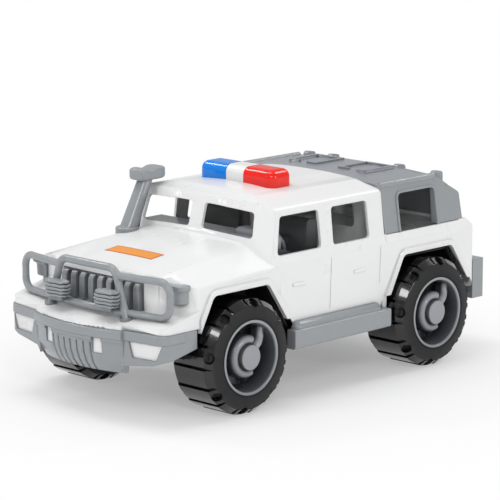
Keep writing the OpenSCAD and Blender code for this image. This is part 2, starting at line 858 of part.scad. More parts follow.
module front_bumper() {
    color(grey) difference() {
        union() {
            bumper_middle();
            along_z(bumper_low_z, ledge_z) difference() {
                polygon(bumper_sides());
                polygon(shrunk(bumper_sides(), bumper_wall));
                translate([corner_x - 1, -far]) square([bumper_wall + 2, 2 * far]);
                translate([0, 3 - bumper_mid_y]) square([far, 2 * bumper_mid_y - 6]);
            }
        }
        // the lower edge rises towards the ends
        along_x(0, far) for (side = [-1, 1]) polygon([
            [side * (bumper_mid_y - 5), bumper_low_z - 1], [side * bumper_mid_y, bumper_low_z + 7.4],
            [side * (bumper_y - 11), bumper_low_z + 10.8], [side * (bumper_y + 1), bumper_low_z + 15],
            [side * far, bumper_low_z + 15], [side * far, bumper_low_z - 1]]);
        along_y(-far, far) polygon([
            [corner_x - 1, 0], [bumper_end_x - 9, 0], [bumper_end_x - 9, bumper_low_z + 15],
            [corner_x - 1, bumper_low_z + 21]]);
        // openings in the side sections
        along_x(nose_x, far) for (side = [-1, 1]) polygon([
            [side * (bumper_mid_y + 7.4), ledge_z - 7.6], [side * (bumper_mid_y + 8.3), ledge_z - 16.6],
            [side * (bumper_y - 13), ledge_z - 17.1], [side * (bumper_y - 4), ledge_z - 8]]);
        // slots in the middle section
        for (side = [0, 1]) mirror([0, side, 0])
            box([nose_x, slot_y[0], ledge_z + slot_z[0]], [far, slot_y[1], ledge_z + slot_z[1]]);
    }
}
rear_bumper_z = sill_z - 5.4;
rear_lip = 2;
module rear_bumper() {
    color(grey) {
        along_z(rear_bumper_z, rear_bumper_z + rear_bumper_h) polygon(outline([
            [tail_x - rear_bumper_d, -rear_bumper_y, 2], [tail_x, -rear_bumper_y, 0],
            [tail_x, rear_bumper_y, 0], [tail_x - rear_bumper_d, rear_bumper_y, 2]]));
        box([tail_x - 2 * rear_lip, 6 - rear_bumper_y, rear_bumper_z + rear_bumper_h - 1],
            [tail_x, rear_bumper_y - 6, rear_bumper_z + rear_bumper_h + rear_lip]);
    }
}
step_front_x = front_axle_x - tyre_r - 10;
step_rear_x = rear_axle_x + tyre_r + 4;
step_rib_r = 5.5;
module side_step() {
    step_y = sill_y + step_out;
    door_y = sill_y + (step_top_z + step_rib_r - sill_z) * (shoulder_y - sill_y) / shoulder_h + fit_gap;
    rib_l = step_front_x - step_rear_x - 14 - step_rib_r;
    color(grey) {
        along_x(step_rear_x, step_front_x) polygon(outline([
            [chassis_side_y - 8, step_bottom_z, 0], [step_y, step_bottom_z, 2], [step_y, step_top_z, 1.5],
            [door_y, step_top_z, 0], [door_y, chassis_z, 0], [chassis_side_y - 8, chassis_z, 0]]));
        difference() {
            translate([step_rear_x + 10, door_y + 1, step_top_z]) {
                rotate([0, 90, 0]) cylinder(r = step_rib_r, h = rib_l);
                translate([rib_l, 0, 0]) sphere(r = step_rib_r);
            }
            box([-far, 0, 0], [far, door_y, far]);
            box([-far, 0, 0], [far, far, step_top_z - 1]);
        }
    }
}
module side_step_left() {
    side_step();
}
module side_step_right() {
    to_right() side_step();
}

// Nose fittings
slat_pitch = 2 * grille_y / grille_bars;
slat_w = 0.58 * slat_pitch;
slat_out = 3;
slat_drop = 3.4;
module grille() {
    color(grey) {
        box([nose_x - 3 * wall, -grille_y + fit_gap, grille_z + fit_gap],
            [nose_x - wall, grille_y - fit_gap, grille_z + grille_h - fit_gap]);
        for (i = [0:grille_bars - 1]) translate([0, -grille_y + slat_pitch * (i + 0.5), 0])
            along_y(-slat_w / 2, slat_w / 2) polygon([
                [nose_x - 1.5 * wall, grille_z + fit_gap], [nose_x + slat_out, grille_z + fit_gap],
                [nose_x + slat_out - 1, grille_z + grille_h - 2 * slat_drop],
                [nose_x - 1.5 * wall, grille_z + grille_h - slat_drop]]);
    }
}
corner_lamp_l = 10;
corner_lamp_w = 18.4;
corner_lamp_h = 14.5;
corner_lamp_t = 3.5;
corner_lamp_z = ledge_z + 18.9;
module corner_lamp() {
    color(grey) along_z(corner_lamp_z, corner_lamp_z + corner_lamp_h) intersection() {
        difference() {
            polygon(shrunk(nose_plan(0), -corner_lamp_t));
            polygon(nose_plan(0));
        }
        translate([nose_x - corner_lamp_l, nose_side_y - corner_lamp_w]) square(far);
    }
}
module corner_lamp_left() {
    corner_lamp();
}
module corner_lamp_right() {
    to_right() corner_lamp();
}

// A tube in a plane: rows of two coordinates and a bend radius. Bends are a hair thicker than the straights.
bend_swell = 0.2;
bend_overlap = 1;
function bend_run(rows, i) = i == 0 || i == len(rows) - 1 ? 0 :
    let (a = unit(point(rows[i - 1]) - point(rows[i])), b = unit(point(rows[i + 1]) - point(rows[i])))
    rows[i][2] / tan(acos(a * b) / 2) - bend_overlap;
module flat_tube(rows, d) {
    n = len(rows);
    for (i = [0:n - 2]) {
        step = point(rows[i + 1]) - point(rows[i]);
        start = bend_run(rows, i);
        length = norm(step) - start - bend_run(rows, i + 1);
        translate(point(rows[i]) + unit(step) * start) rotate([0, 0, atan2(step[1], step[0])]) rotate([0, 90, 0])
            cylinder(d = d, h = length);
    }
    for (i = [1:1:n - 2]) {
        q = point(rows[i]);
        a = unit(point(rows[i - 1]) - q);
        b = unit(point(rows[i + 1]) - q);
        half = acos(a * b) / 2;
        centre = q + unit(a + b) * (rows[i][2] / sin(half));
        first = q + (cross(-a, b) > 0 ? a : b) * (rows[i][2] / tan(half)) - centre;
        translate(centre) rotate([0, 0, atan2(first[1], first[0])])
            rotate_extrude(angle = 180 - 2 * half) translate([rows[i][2], 0]) circle(d = d + bend_swell);
    }
}
foot_z = deck_z(bar_x);
bar_rise = ledge_z + hoop_h - bar_d / 2;
loop_low_z = ledge_z + 10.2;
loop_high_z = ledge_z + 37;
loop_back = 8;
loop_d = bar_d - 0.4;
loop_r = 9;
flange_r = 4.8;
flange_t = 1.8;
// Distance of the hoop's leg from the middle plane at a height
function leg_y(z) = hoop_foot_y + (hoop_top_y - hoop_foot_y) * (z - foot_z) / (bar_rise - foot_z);
high_y = leg_y(loop_high_z);
low_y = leg_y(loop_low_z);
loop_turn = atan(loop_back / (loop_y - high_y));
foot_sink = 3;
module bull_bar() {
    color(grey) difference() {
        union() {
            translate([bar_x, 0, 0]) rotate([90, 0, 90]) {
                flat_tube([
                    [leg_y(foot_z - foot_sink), foot_z - foot_sink, 0], [hoop_top_y, bar_rise, loop_r],
                    [-hoop_top_y, bar_rise, loop_r], [-leg_y(foot_z - foot_sink), foot_z - foot_sink, 0]], bar_d);
                flat_tube([[-low_y, loop_low_z, 0], [low_y, loop_low_z, 0]], loop_d);
            }
            for (side = [0, 1]) mirror([0, side, 0]) {
                translate([bar_x, high_y, 0]) rotate([0, 0, loop_turn]) rotate([90, 0, 90])
                    flat_tube([
                        [0, loop_high_z, 0], [loop_y - high_y, loop_high_z, loop_r],
                        [loop_y - high_y, loop_low_z, loop_r], [low_y - high_y, loop_low_z, 0]], loop_d);
                translate([bar_x, hoop_foot_y, foot_z - 1]) rotate([0, deck_slope, 0])
                    cylinder(r = flange_r, h = flange_t + 1);
            }
        }
        along_y(-far, far) polygon([
            [corner_x, 0], [bumper_x, 0], [bumper_x, deck_z(bumper_x)], [corner_x, deck_z(corner_x)]]);
    }
}
// Oval lamps with level fins, each on a foot that saddles the lower cross bar
lamp_y = 27;
lamp_x = [bar_x + bar_d / 2 + 0.3, bar_x + bar_d / 2 + 8.3];
lamp_z = loop_low_z + 4;
lamp_fins = 5;
lamp_groove = [0.9, 2.4];
foot_half = 4;
module auxiliary_lamp(side) {
    fin_pitch = lamp_h / lamp_fins;
    color(grey) translate([0, side * lamp_y, 0]) difference() {
        union() {
            along_x(lamp_x[0], lamp_x[1]) polygon(outline(both_sides([
                [lamp_w / 2, lamp_z, lamp_h * 0.45], [lamp_w / 2, lamp_z + lamp_h, lamp_h * 0.45]])));
            box([bar_x - foot_half, -foot_half, loop_low_z], [lamp_x[0] + 2, foot_half, lamp_z + 2]);
        }
        for (i = [1:lamp_fins - 1]) translate([0, 0, lamp_z + i * fin_pitch])
            box([lamp_x[1] - lamp_groove[1], -far, -lamp_groove[0] / 2], [far, far, lamp_groove[0] / 2]);
        translate([bar_x, 0, loop_low_z]) rotate([90, 0, 0]) cylinder(d = loop_d, h = far, center = true);
    }
}
module auxiliary_lamp_left() {
    auxiliary_lamp(1);
}
module auxiliary_lamp_right() {
    auxiliary_lamp(-1);
}
snorkel_y = -56.4;
snorkel_x = 79.4;
snorkel_z = hood_z - 6;
snorkel_lean = 26.5;
snorkel_l = 46;
snorkel_r = 6.2;
// Head of the snorkel: length, width, height and the dip across its top
head_l = 26;
head_w = 14;
head_h = 8.5;
head_dip = 3;
module snorkel_head() {
    along_y(-head_w / 2, head_w / 2) polygon(outline([
        [-head_l / 2, -head_h / 2, 2], [head_l / 2, -head_h / 2 - 1, 2], [head_l / 2, head_h / 2, 2.5],
        [head_l * 0.05, head_h / 2 - head_dip, 2], [-head_l / 2, head_h / 2, 2.5]]));
}
module snorkel() {
    color(grey) difference() {
        union() {
            translate([snorkel_x, snorkel_y, snorkel_z]) {
                rotate([0, -snorkel_lean, 0]) cylinder(r1 = snorkel_r + 0.8, r2 = snorkel_r - 0.7, h = snorkel_l);
                cylinder(r = snorkel_r + 3, h = 4.5);
                translate([-(snorkel_l + 2) * sin(snorkel_lean), 0, (snorkel_l + 2) * cos(snorkel_lean)]) snorkel_head();
            }
            box([screen_x - 20, snorkel_y - 11, snorkel_z + 21],
                [snorkel_x - 24 * tan(snorkel_lean), snorkel_y - 1, snorkel_z + 27]);
        }
        nose_block(0);
        cab_block(0);
    }
}

// Light bar
light_bar_z = roof_z - 3;
light_bar_top = light_bar_z + light_bar_h + 0.6;
function light_profile() = outline([
    [light_bar_x - light_bar_d / 2, light_bar_z, 0], [light_bar_x + light_bar_d / 2, light_bar_z, 0],
    [light_bar_x + light_bar_d / 2 - 2.5, light_bar_top, 7], [light_bar_x - light_bar_d / 2 + 2.5, light_bar_top, 7]]);
module light_bar_base() {
    color(white) difference() {
        along_y(-light_mid_y, light_mid_y) polygon(light_profile());
        cab_block(0);
    }
}
// A lens is round at its top edges and at its outer corners
lens_r = 6.5;
module light_lens() {
    inner_y = light_mid_y + fit_gap;
    difference() {
        intersection() {
            along_y(inner_y, light_bar_y) polygon(light_profile());
            along_x(-far, far) polygon(outline([
                [inner_y, 0, 0], [light_bar_y, 0, 0], [light_bar_y - 1.5, light_bar_top, lens_r],
                [inner_y, light_bar_top, 0]]));
            along_z(0, far) polygon(outline([
                [light_bar_x - light_bar_d / 2, inner_y, 0], [light_bar_x + light_bar_d / 2, inner_y, 0],
                [light_bar_x + light_bar_d / 2, light_bar_y, 5], [light_bar_x - light_bar_d / 2, light_bar_y, 5]]));
        }
        cab_block(0);
    }
}
module lens_red() {
    color("red") light_lens();
}
module lens_blue() {
    color("blue") to_right() light_lens();
}

// Interior
dash_y = seam_y - fit_gap;
dash_x = door_front_x - 3;
module dashboard() {
    color(grey) along_y(-dash_y, dash_y) polygon(outline([
        [dash_x - 4, chassis_top_z, 0], [dash_x, chassis_top_z, 0], [dash_x, belt_z + 2, 0],
        [dash_x - 12, belt_z + 2, 3], [dash_x - 26, belt_z - 4, 5], [dash_x - 24, belt_z - 18, 3],
        [dash_x - 4, belt_z - 26, 0]]));
}
driver_y = 36;
wheel_ring_r = 13;
wheel_ring_d = 3.6;
spoke_w = 3.2;
spoke_t = 1.8;
column_l = 12;
column_lean = 65;
// The column starts just clear of the dashboard's slanting face
column_start = 1.2;
module steering_wheel() {
    color(dark_grey) translate([dash_x - 25, driver_y, belt_z - 6]) rotate([0, -column_lean, 0]) {
        translate([0, 0, column_l]) {
            rotate_extrude() translate([wheel_ring_r, 0]) circle(d = wheel_ring_d);
            translate([0, 0, -1.5]) cylinder(r = 4, h = 3);
            for (a = [30, 150, 270]) rotate([0, 0, a])
                box([0, -spoke_w / 2, -spoke_t / 2], [wheel_ring_r, spoke_w / 2, spoke_t / 2]);
        }
        translate([0, 0, column_start]) cylinder(r = 2.4, h = column_l - 1 - column_start);
    }
}
seat_w = 46;
seat_x = 4;
module seats() {
    color(grey) for (side = [-1, 1]) translate([0, side * driver_y, 0])
        along_y(-seat_w / 2, seat_w / 2) polygon(outline([
            [seat_x - 20, chassis_top_z, 0], [seat_x + 34, chassis_top_z, 0], [seat_x + 36, chassis_top_z + 34, 5],
            [seat_x + 2, chassis_top_z + 31, 6], [seat_x - 6, belt_z + 18, 4], [seat_x - 17, belt_z + 17, 4]]));
}

// Wheels, drawn round the Z axis with the outer face up
shoulder_run = 7;
shoulder_fall = 4;
module tyre_shape() {
    half = tyre_w / 2;
    difference() {
        rotate_extrude() polygon([
            [rim_r, -half + 1], [rim_r + 4, -half], [tyre_r - shoulder_fall, -half + 2],
            [tyre_r, -half + shoulder_run], [tyre_r, half - shoulder_run],
            [tyre_r - shoulder_fall, half - 2], [rim_r + 4, half], [rim_r, half - 1]]);
        for (i = [0:lug_count - 1]) rotate([0, 0, (i + 0.5) * 360 / lug_count])
            box([tyre_r - lug_h, -groove_w / 2, -tyre_w], [far, groove_w / 2, tyre_w]);
    }
}
arm_angle = -121;
arm_sink = 4;
ridge_sink = 6.4;
module rim_shape() {
    half = tyre_w / 2;
    face = half - dish_depth;
    ridge_z = half - ridge_sink;
    difference() {
        union() {
            rotate_extrude() polygon(outline([
                [0, face - 6, 0], [rim_r - rim_wall, face - 6, 0], [rim_r - rim_wall, -half + 3, 0], [rim_r, -half + 3, 0],
                [rim_r, half, 0], [rim_r - rim_wall, half, 0.8], [dish_r, face, 2], [0, face, 0]]));
            translate([0, 0, face - 1]) cylinder(r = hub_r, h = dish_depth + 1);
            rotate_extrude() translate([ridge_r, ridge_z]) circle(d = ridge_d);
            translate([0, 0, face - 1]) difference() {
                cylinder(r = ridge_r + ridge_d / 4, h = ridge_z - face + 1);
                translate([0, 0, -1]) cylinder(r = hub_r - 1, h = dish_depth);
            }
            translate([0, 0, half - arm_sink]) rotate([0, 0, arm_angle]) rotate([0, 90, 0])
                cylinder(d = arm_d, h = rim_r - rim_wall / 2);
        }
        translate([0, 0, -far]) cylinder(d = axle_d + 2 * axle_gap, h = far + face + 3);
    }
}
// Columns: axle, side with 1 for left
module place_wheel(x, side) {
    translate([x, side * wheel_y, axle_z]) rotate([-90 * side, 0, 0]) children();
}
module tyre_front_left() {
    color(black) place_wheel(front_axle_x, 1) tyre_shape();
}
module tyre_front_right() {
    color(black) place_wheel(front_axle_x, -1) tyre_shape();
}
module tyre_rear_left() {
    color(black) place_wheel(rear_axle_x, 1) tyre_shape();
}
module tyre_rear_right() {
    color(black) place_wheel(rear_axle_x, -1) tyre_shape();
}
module rim_front_left() {
    color(grey) place_wheel(front_axle_x, 1) rim_shape();
}
module rim_front_right() {
    color(grey) place_wheel(front_axle_x, -1) rim_shape();
}
module rim_rear_left() {
    color(grey) place_wheel(rear_axle_x, 1) rim_shape();
}
module rim_rear_right() {
    color(grey) place_wheel(rear_axle_x, -1) rim_shape();
}

hood();
fender_left();
fender_right();
front_panel();
cab_side_left();
cab_side_right();
windscreen_frame();
roof();
cab_rear_wall();
bed_side_left();
bed_side_right();
tailgate();
bed_floor();
canopy_roof();
canopy_side_left();
canopy_side_right();
canopy_rear();
chassis();
front_bumper();
rear_bumper();
side_step_left();
side_step_right();
grille();
bull_bar();
auxiliary_lamp_left();
auxiliary_lamp_right();
corner_lamp_left();
corner_lamp_right();
snorkel();
light_bar_base();
lens_blue();
lens_red();
dashboard();
steering_wheel();
seats();
axle_front();
axle_rear();
tyre_front_left();
rim_front_left();
tyre_front_right();
rim_front_right();
tyre_rear_left();
rim_rear_left();
tyre_rear_right();
rim_rear_right();
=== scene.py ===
"""Dresses the toy off-road patrol vehicle: moulded plastic finishes, smooth mouldings, wheels and stage."""
import math
from contextlib import contextmanager

import bmesh
import bpy
from mathutils import Matrix, Vector
from mathutils.bvhtree import BVHTree


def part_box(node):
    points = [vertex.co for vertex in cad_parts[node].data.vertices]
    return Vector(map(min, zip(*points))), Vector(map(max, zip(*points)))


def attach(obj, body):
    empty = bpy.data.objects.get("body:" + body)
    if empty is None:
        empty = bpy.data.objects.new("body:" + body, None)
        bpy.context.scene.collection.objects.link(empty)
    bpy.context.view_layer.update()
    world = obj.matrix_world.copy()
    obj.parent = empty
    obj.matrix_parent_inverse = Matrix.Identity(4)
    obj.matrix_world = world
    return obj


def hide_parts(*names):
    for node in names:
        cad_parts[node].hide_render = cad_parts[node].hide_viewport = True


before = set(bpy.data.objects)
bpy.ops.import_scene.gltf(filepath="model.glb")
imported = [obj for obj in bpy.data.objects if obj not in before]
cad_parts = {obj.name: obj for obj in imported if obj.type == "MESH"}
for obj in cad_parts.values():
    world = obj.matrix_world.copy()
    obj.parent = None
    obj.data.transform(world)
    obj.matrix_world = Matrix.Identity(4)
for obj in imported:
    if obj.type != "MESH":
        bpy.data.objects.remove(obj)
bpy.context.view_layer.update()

bl_info = {
    "name": "Toy Patrol Vehicle",
    "version": (1, 0, 0),
    "blender": (4, 5, 0),
    "location": "3D View > Sidebar > Patrol Vehicle",
    "description": "Dresses the packed toy off-road patrol vehicle with moulded plastic pieces and finishes",
    "category": "Object",
}

WHITE_PANELS = (
    "hood", "fender_left", "fender_right", "front_panel", "cab_side_left", "cab_side_right",
    "windscreen_frame", "roof", "cab_rear_wall", "bed_side_left", "bed_side_right", "tailgate", "bed_floor")
CANOPY_WALLS = ("canopy_side_left", "canopy_side_right", "canopy_rear")
WHEELS = ("front_left", "front_right", "rear_left", "rear_right")

# Finish: share of its colour in the clouds, roughness range, grain scale and depth, coat, painted shade in
# crevices
FINISHES = {
    "body_white": (0.994, 0.27, 0.31, 900.0, 0.01, 0.12, 0.22),
    "fitting_grey": (0.95, 0.17, 0.24, 1500.0, 0.07, 0.0, 0.38),
    "canopy_grey": (0.94, 0.2, 0.28, 1500.0, 0.1, 0.0, 0.5),
    "rim_grey": (0.94, 0.17, 0.24, 1500.0, 0.06, 0.0, 0.85),
    "tyre_black": (0.75, 0.17, 0.26, 1300.0, 0.1, 0.0, 0.6),
    "chassis_black": (0.7, 0.45, 0.6, 1300.0, 0.15, 0.0, 0.6),
    "lens_blue": (0.88, 0.1, 0.13, 600.0, 0.002, 0.0, 0.3),
    "lens_red": (0.9, 0.1, 0.13, 600.0, 0.002, 0.0, 0.3),
    "label_orange": (0.85, 0.35, 0.5, 2200.0, 0.08, 0.0, 0.2),
    "label_edge": (0.85, 0.35, 0.5, 2200.0, 0.08, 0.0, 0.2),
    "cabin_grey": (0.85, 0.35, 0.45, 1500.0, 0.1, 0.0, 0.5),
    "axle_steel": (0.8, 0.25, 0.4, 2600.0, 0.1, 0.0, 0.4),
}
# Lamp: place, size, share of the key light's power
LAMPS = {
    "top": ((0.25, -0.2, 1.9), 0.9, 1.0),
    "near": ((1.15, 1.36, 1.12), 0.38, 0.6),
    "front": ((1.8, -0.5, 0.85), 0.22, 0.4),
    "side": ((-0.6, 1.9, 0.45), 0.26, 0.54),
    "far": ((0.3, -1.4, 1.5), 0.3, 0.45),
    "back": ((-1.5, 0.4, 1.5), 0.3, 0.34),
}
CAMERA_PLACE = (1.4687, 1.431, 0.513)
MERGE = 2e-6


def mm(*values):
    """Millimetres as metres."""
    return values[0] * 0.001 if len(values) == 1 else Vector([v * 0.001 for v in values])


def mm_row(*values):
    """Millimetres as a row of metres, in full precision, because the cuts in the mouldings need it."""
    return tuple(v * 0.001 for v in values)


# Places and sizes of the pieces, in the frame of the CAD
SIDE_FOOT_Y, SIDE_FOOT_Z, SIDE_OUT, SIDE_UP = mm(82), mm(48), 2, 57
CAB_JOINT_X, CAB_JOINT_RUN = mm(-69), mm(5)
CAB_JOINT = [mm_row(y, z) for y, z in (
    (80, 52), (82.14, 52), (83.98, 104.9), (81.16, 111.4), (78, 111.4), (80, 104))]
DOOR_LINES, DOOR_TOP = (mm_row(-3.2, 63), mm_row(-60, 74)), mm(103)
HANDLE_XS, HANDLE_RUN = (mm(26), mm(-43)), mm(14)
HANDLE_LOW, HANDLE_MIDDLE, HANDLE_HIGH = mm(86.2), mm(87.5), mm(89)
LABEL_LOW, LABEL_HIGH = mm(117.6, -26), mm(131.6, 25)
TAIL_OUTLINE, HATCH_OUTLINE = mm_row(44, 81, 101), mm_row(40, 119, 140)
BUMPER_CENTRE, BUMPER_RADIUS, BUMPER_MIDDLE = mm(60), mm(132), mm(47.5)
BUMPER_SIDE_NEAR, BUMPER_SIDE_FAR = mm_row(181, 47.5), mm_row(175, 85)
BUMPER_OPENING = [mm_row(run, z) for run, z in ((4.4, 62.9), (34.4, 62.9), (29.5, 51.2), (8, 51.2))]
BUMPER_INSERT = [mm_row(run, z) for run, z in ((3.6, 63.2), (34.2, 63.2), (34.2, 50.6), (3.6, 50.6))]
BAND_LOW, BAND_HIGH, BAND_PROUD, BAND_ROOT = mm(63.2), mm(70.4), 0.0009, -0.0022
GRILLE_WIDTH = mm(88)
LAMP_MIDDLE, LAMP_HALF, LAMP_PITCH = mm(178.2, 27, 90.8), mm(8.4), mm(2.5)
SNORKEL_FOOT, SNORKEL_REACH, SNORKEL_LEAN = mm(79.4, -56.4, 115), mm(46), math.radians(26.5)
WELLS, WELL_FOOT = (mm_row(98.5, 94.4), mm_row(-113, 90.2)), mm(48.5)
# Places outside the vehicle, where rays start
BEHIND, ABOVE = -0.4, 0.3


def colour(name, text, value):
    """A colour that a user may change."""
    return bpy.props.FloatVectorProperty(
        name=name, description=text, default=value, size=3, min=0.0, max=1.0, subtype="COLOR")


def length(name, text, value):
    """A length that a user may change."""
    return bpy.props.FloatProperty(
        name=name, description=text, default=value, min=0.0, unit="LENGTH", subtype="DISTANCE", precision=5)


def angle(name, text, degrees):
    """An angle that a user may change."""
    return bpy.props.FloatProperty(
        name=name, description=text, default=math.radians(degrees), subtype="ANGLE")


def number(name, text, value, low, high):
    """A number of copies that a user may change."""
    return bpy.props.IntProperty(name=name, description=text, default=value, min=low, max=high)


class PatrolColours(bpy.types.PropertyGroup):
    """Colours of the finishes, each under its finish's name."""

    body_white: colour("Body white", "Glossy white of the body moulding", (0.86, 0.865, 0.865))
    fitting_grey: colour(
        "Fitting grey", "Satin grey of bumpers, bars, grille and canopy", (0.315, 0.338, 0.355))
    canopy_grey: colour("Canopy roof grey", "Bluish grey of the canopy's roof", (0.29, 0.307, 0.34))
    rim_grey: colour("Rim grey", "Grey of the wheel rims", (0.32, 0.338, 0.36))
    tyre_black: colour("Tyre black", "Black of the tyres", (0.006, 0.006, 0.007))
    chassis_black: colour("Chassis black", "Black of the underbody", (0.01, 0.01, 0.011))
    lens_blue: colour("Blue lens", "Blue of the right-hand light", (0.0, 0.24, 0.86))
    lens_red: colour("Red lens", "Red of the left-hand light", (0.95, 0.012, 0.002))
    label_orange: colour("Label orange", "Orange of the blank hood label", (0.95, 0.36, 0.05))
    label_edge: colour("Label edge", "Border of the blank hood label", (0.72, 0.13, 0.02))
    cabin_grey: colour("Cabin grey", "Dark grey of the seats and dashboard", (0.085, 0.088, 0.092))
    axle_steel: colour("Axle steel", "Bright steel of the axle rods", (0.62, 0.62, 0.64))


class PatrolSizes(bpy.types.PropertyGroup):
    """Sizes of the details."""

    edge_radius: length("Edge radius", "Softness of the moulded edges", 0.0008)
    seam_width: length("Seam width", "Width of the lines between the doors", 0.0006)
    seam_depth: length("Seam depth", "Depth of the lines between the doors", 0.0003)
    lens_edge: length("Lens edge", "Radius of the light bar's upper edges", 0.0065)
    tyre_radius: length("Tyre radius", "Radius at the tread bars", 0.044)
    tyre_width: length("Tyre width", "Width over the sidewalls", 0.044)
    bar_count: number("Tread bars", "Bars round one tyre", 16, 6, 24)
    bar_height: length("Bar height", "Height of a tread bar", 0.003)
    bar_gap: length("Bar gap", "Groove between two tread bars", 0.0024)
    pocket_radius: length("Pocket radius", "Round pocket in the shoulder between two bars", 0.0042)
    slat_count: number("Grille slats", "Slats in the grille", 9, 4, 14)
    fin_count: number("Lamp fins", "Level fins on a lamp", 5, 3, 8)


class PatrolStage(bpy.types.PropertyGroup):
    """Camera and lights."""

    lens_mm: bpy.props.FloatProperty(name="Lens", description="Camera lens", default=191.66, unit="CAMERA")
    azimuth: angle("Azimuth", "Camera angle round the vehicle from its front", 44.26)
    elevation: angle("Elevation", "Camera angle above the floor", 11.46)
    key_power: bpy.props.FloatProperty(
        name="Key light", description="Power of the key light", default=11.5, unit="POWER")
    sky: bpy.props.FloatProperty(
        name="Sky", description="Strength of the even light", default=0.47, min=0.0, subtype="FACTOR")


class PatrolSettings(bpy.types.PropertyGroup):
    """All settings of the vehicle."""

    colours: bpy.props.PointerProperty(type=PatrolColours)
    sizes: bpy.props.PointerProperty(type=PatrolSizes)
    stage: bpy.props.PointerProperty(type=PatrolStage)


def settings():
    """The scene's settings."""
    return bpy.context.scene.patrol_vehicle


# Node trees

def sockets(tree, into, rows):
    """Named sockets of a node group, from rows of name, kind and first value."""
    for name, kind, value in rows:
        socket = tree.interface.new_socket(
            name=name, in_out="INPUT" if into else "OUTPUT", socket_type="NodeSocket" + kind)
        if value is not None:
            socket.default_value = value


def preset(node, values):
    """Sets the inputs of a node."""
    for socket, value in values.items():
        node.inputs[socket].default_value = value
    return node


def add_node(tree, kind, values=None, **traits):
    """A new node with its traits and the values of its inputs."""
    node = tree.nodes.new(kind)
    for name, value in traits.items():
        setattr(node, name, value)
    return preset(node, values or {})


def add_maths(tree, operation, values=None):
    """A new node that calculates."""
    return add_node(tree, "ShaderNodeMath", values, operation=operation)


def wire(tree, *rows):
    """Links of a tree, from rows of a node, its output, the next node and its input."""
    for start, out, end, into in rows:
        tree.links.new(start.outputs[out], end.inputs[into])


# Finishes

def moulded_skin():
    """Shader group: faint cloudiness and fine grain of moulded plastic, and painted shade that darkens its
    crevices.
    """
    tree = bpy.data.node_groups.get("moulded_skin")
    if tree:
        return tree
    tree = bpy.data.node_groups.new("moulded_skin", "ShaderNodeTree")
    sockets(tree, True, (
        ("Place", "Vector", None), ("Colour", "Color", (0.8, 0.8, 0.8, 1)),
        ("Cloud Colour", "Color", (0.7, 0.7, 0.7, 1)), ("Cloud Scale", "Float", 30.0),
        ("Grain Scale", "Float", 1400.0), ("Smooth Roughness", "Float", 0.3),
        ("Rough Roughness", "Float", 0.4), ("Crevice", "Float", 0.5), ("Crevice Reach", "Float", 0.014)))
    sockets(tree, False, (("Colour", "Color", None), ("Roughness", "Float", None), ("Height", "Float", None)))
    source, sink = add_node(tree, "NodeGroupInput"), add_node(tree, "NodeGroupOutput")
    cloud = add_node(tree, "ShaderNodeTexNoise", {"Detail": 3.0})
    grain = add_node(tree, "ShaderNodeTexNoise", {"Detail": 2.0})
    mix = add_node(tree, "ShaderNodeMix", data_type="RGBA")
    spread = add_node(tree, "ShaderNodeMapRange", {"From Min": 0.3, "From Max": 0.7})
    # Painted shade: ambient occlusion darkens the colour in crevices and in gaps between parts.
    shade = add_node(tree, "ShaderNodeAmbientOcclusion", samples=10)
    left = add_maths(tree, "SUBTRACT", {0: 1.0})
    deep = add_node(tree, "ShaderNodeMapRange", {"From Min": 0.3, "From Max": 0.86})
    darken = add_node(tree, "ShaderNodeVectorMath", operation="SCALE")
    wire(
        tree, (source, "Place", cloud, "Vector"), (source, "Cloud Scale", cloud, "Scale"),
        (source, "Place", grain, "Vector"), (source, "Grain Scale", grain, "Scale"),
        (cloud, "Fac", mix, "Factor"), (source, "Colour", mix, "A"), (source, "Cloud Colour", mix, "B"),
        (cloud, "Fac", spread, "Value"), (source, "Smooth Roughness", spread, "To Min"),
        (source, "Rough Roughness", spread, "To Max"), (source, "Crevice", left, 1),
        (source, "Crevice Reach", shade, "Distance"), (shade, "AO", deep, "Value"),
        (left, "Value", deep, "To Min"), (mix, "Result", darken, 0), (deep, "Result", darken, "Scale"),
        (darken, "Vector", sink, "Colour"),
        (spread, "Result", sink, "Roughness"), (grain, "Fac", sink, "Height"))
    return tree


def finish(name):
    """The material of a finish, made once."""
    made = bpy.data.materials.get(name)
    if made:
        return made
    base = getattr(settings().colours, name)
    share, low, high, grain, depth, coat, painted_crevice_shade = FINISHES[name]
    material = bpy.data.materials.new(name)
    material.use_nodes = True
    tree = material.node_tree
    shader = preset(tree.nodes["Principled BSDF"], {"Coat Weight": coat, "Coat Roughness": 0.06})
    place = add_node(tree, "ShaderNodeTexCoord")
    # The skin group paints shade into the crevices, as strongly as the finish's last column asks.
    skin = add_node(tree, "ShaderNodeGroup", {
        "Colour": (*base, 1), "Cloud Colour": (*[v * share for v in base], 1), "Grain Scale": grain,
        "Smooth Roughness": low, "Rough Roughness": high, "Crevice": painted_crevice_shade}, node_tree=moulded_skin())
    soft = add_node(tree, "ShaderNodeBevel", {"Radius": settings().sizes.edge_radius}, samples=4)
    bump = add_node(tree, "ShaderNodeBump", {"Strength": depth, "Distance": 0.0004})
    wire(
        tree, (place, "Object", skin, "Place"), (skin, "Colour", shader, "Base Color"),
        (skin, "Roughness", shader, "Roughness"), (skin, "Height", bump, "Height"),
        (soft, "Normal", bump, "Normal"), (bump, "Normal", shader, "Normal"))
    if name == "axle_steel":
        preset(shader, {"Metallic": 1.0})
    # The rim's deep dish gets painted shade.
    if name == "rim_grey":
        paint_dish_shade(tree, skin, shader)
    if name == "tyre_black":
        matt_sidewall(tree, skin, shader)
    return material


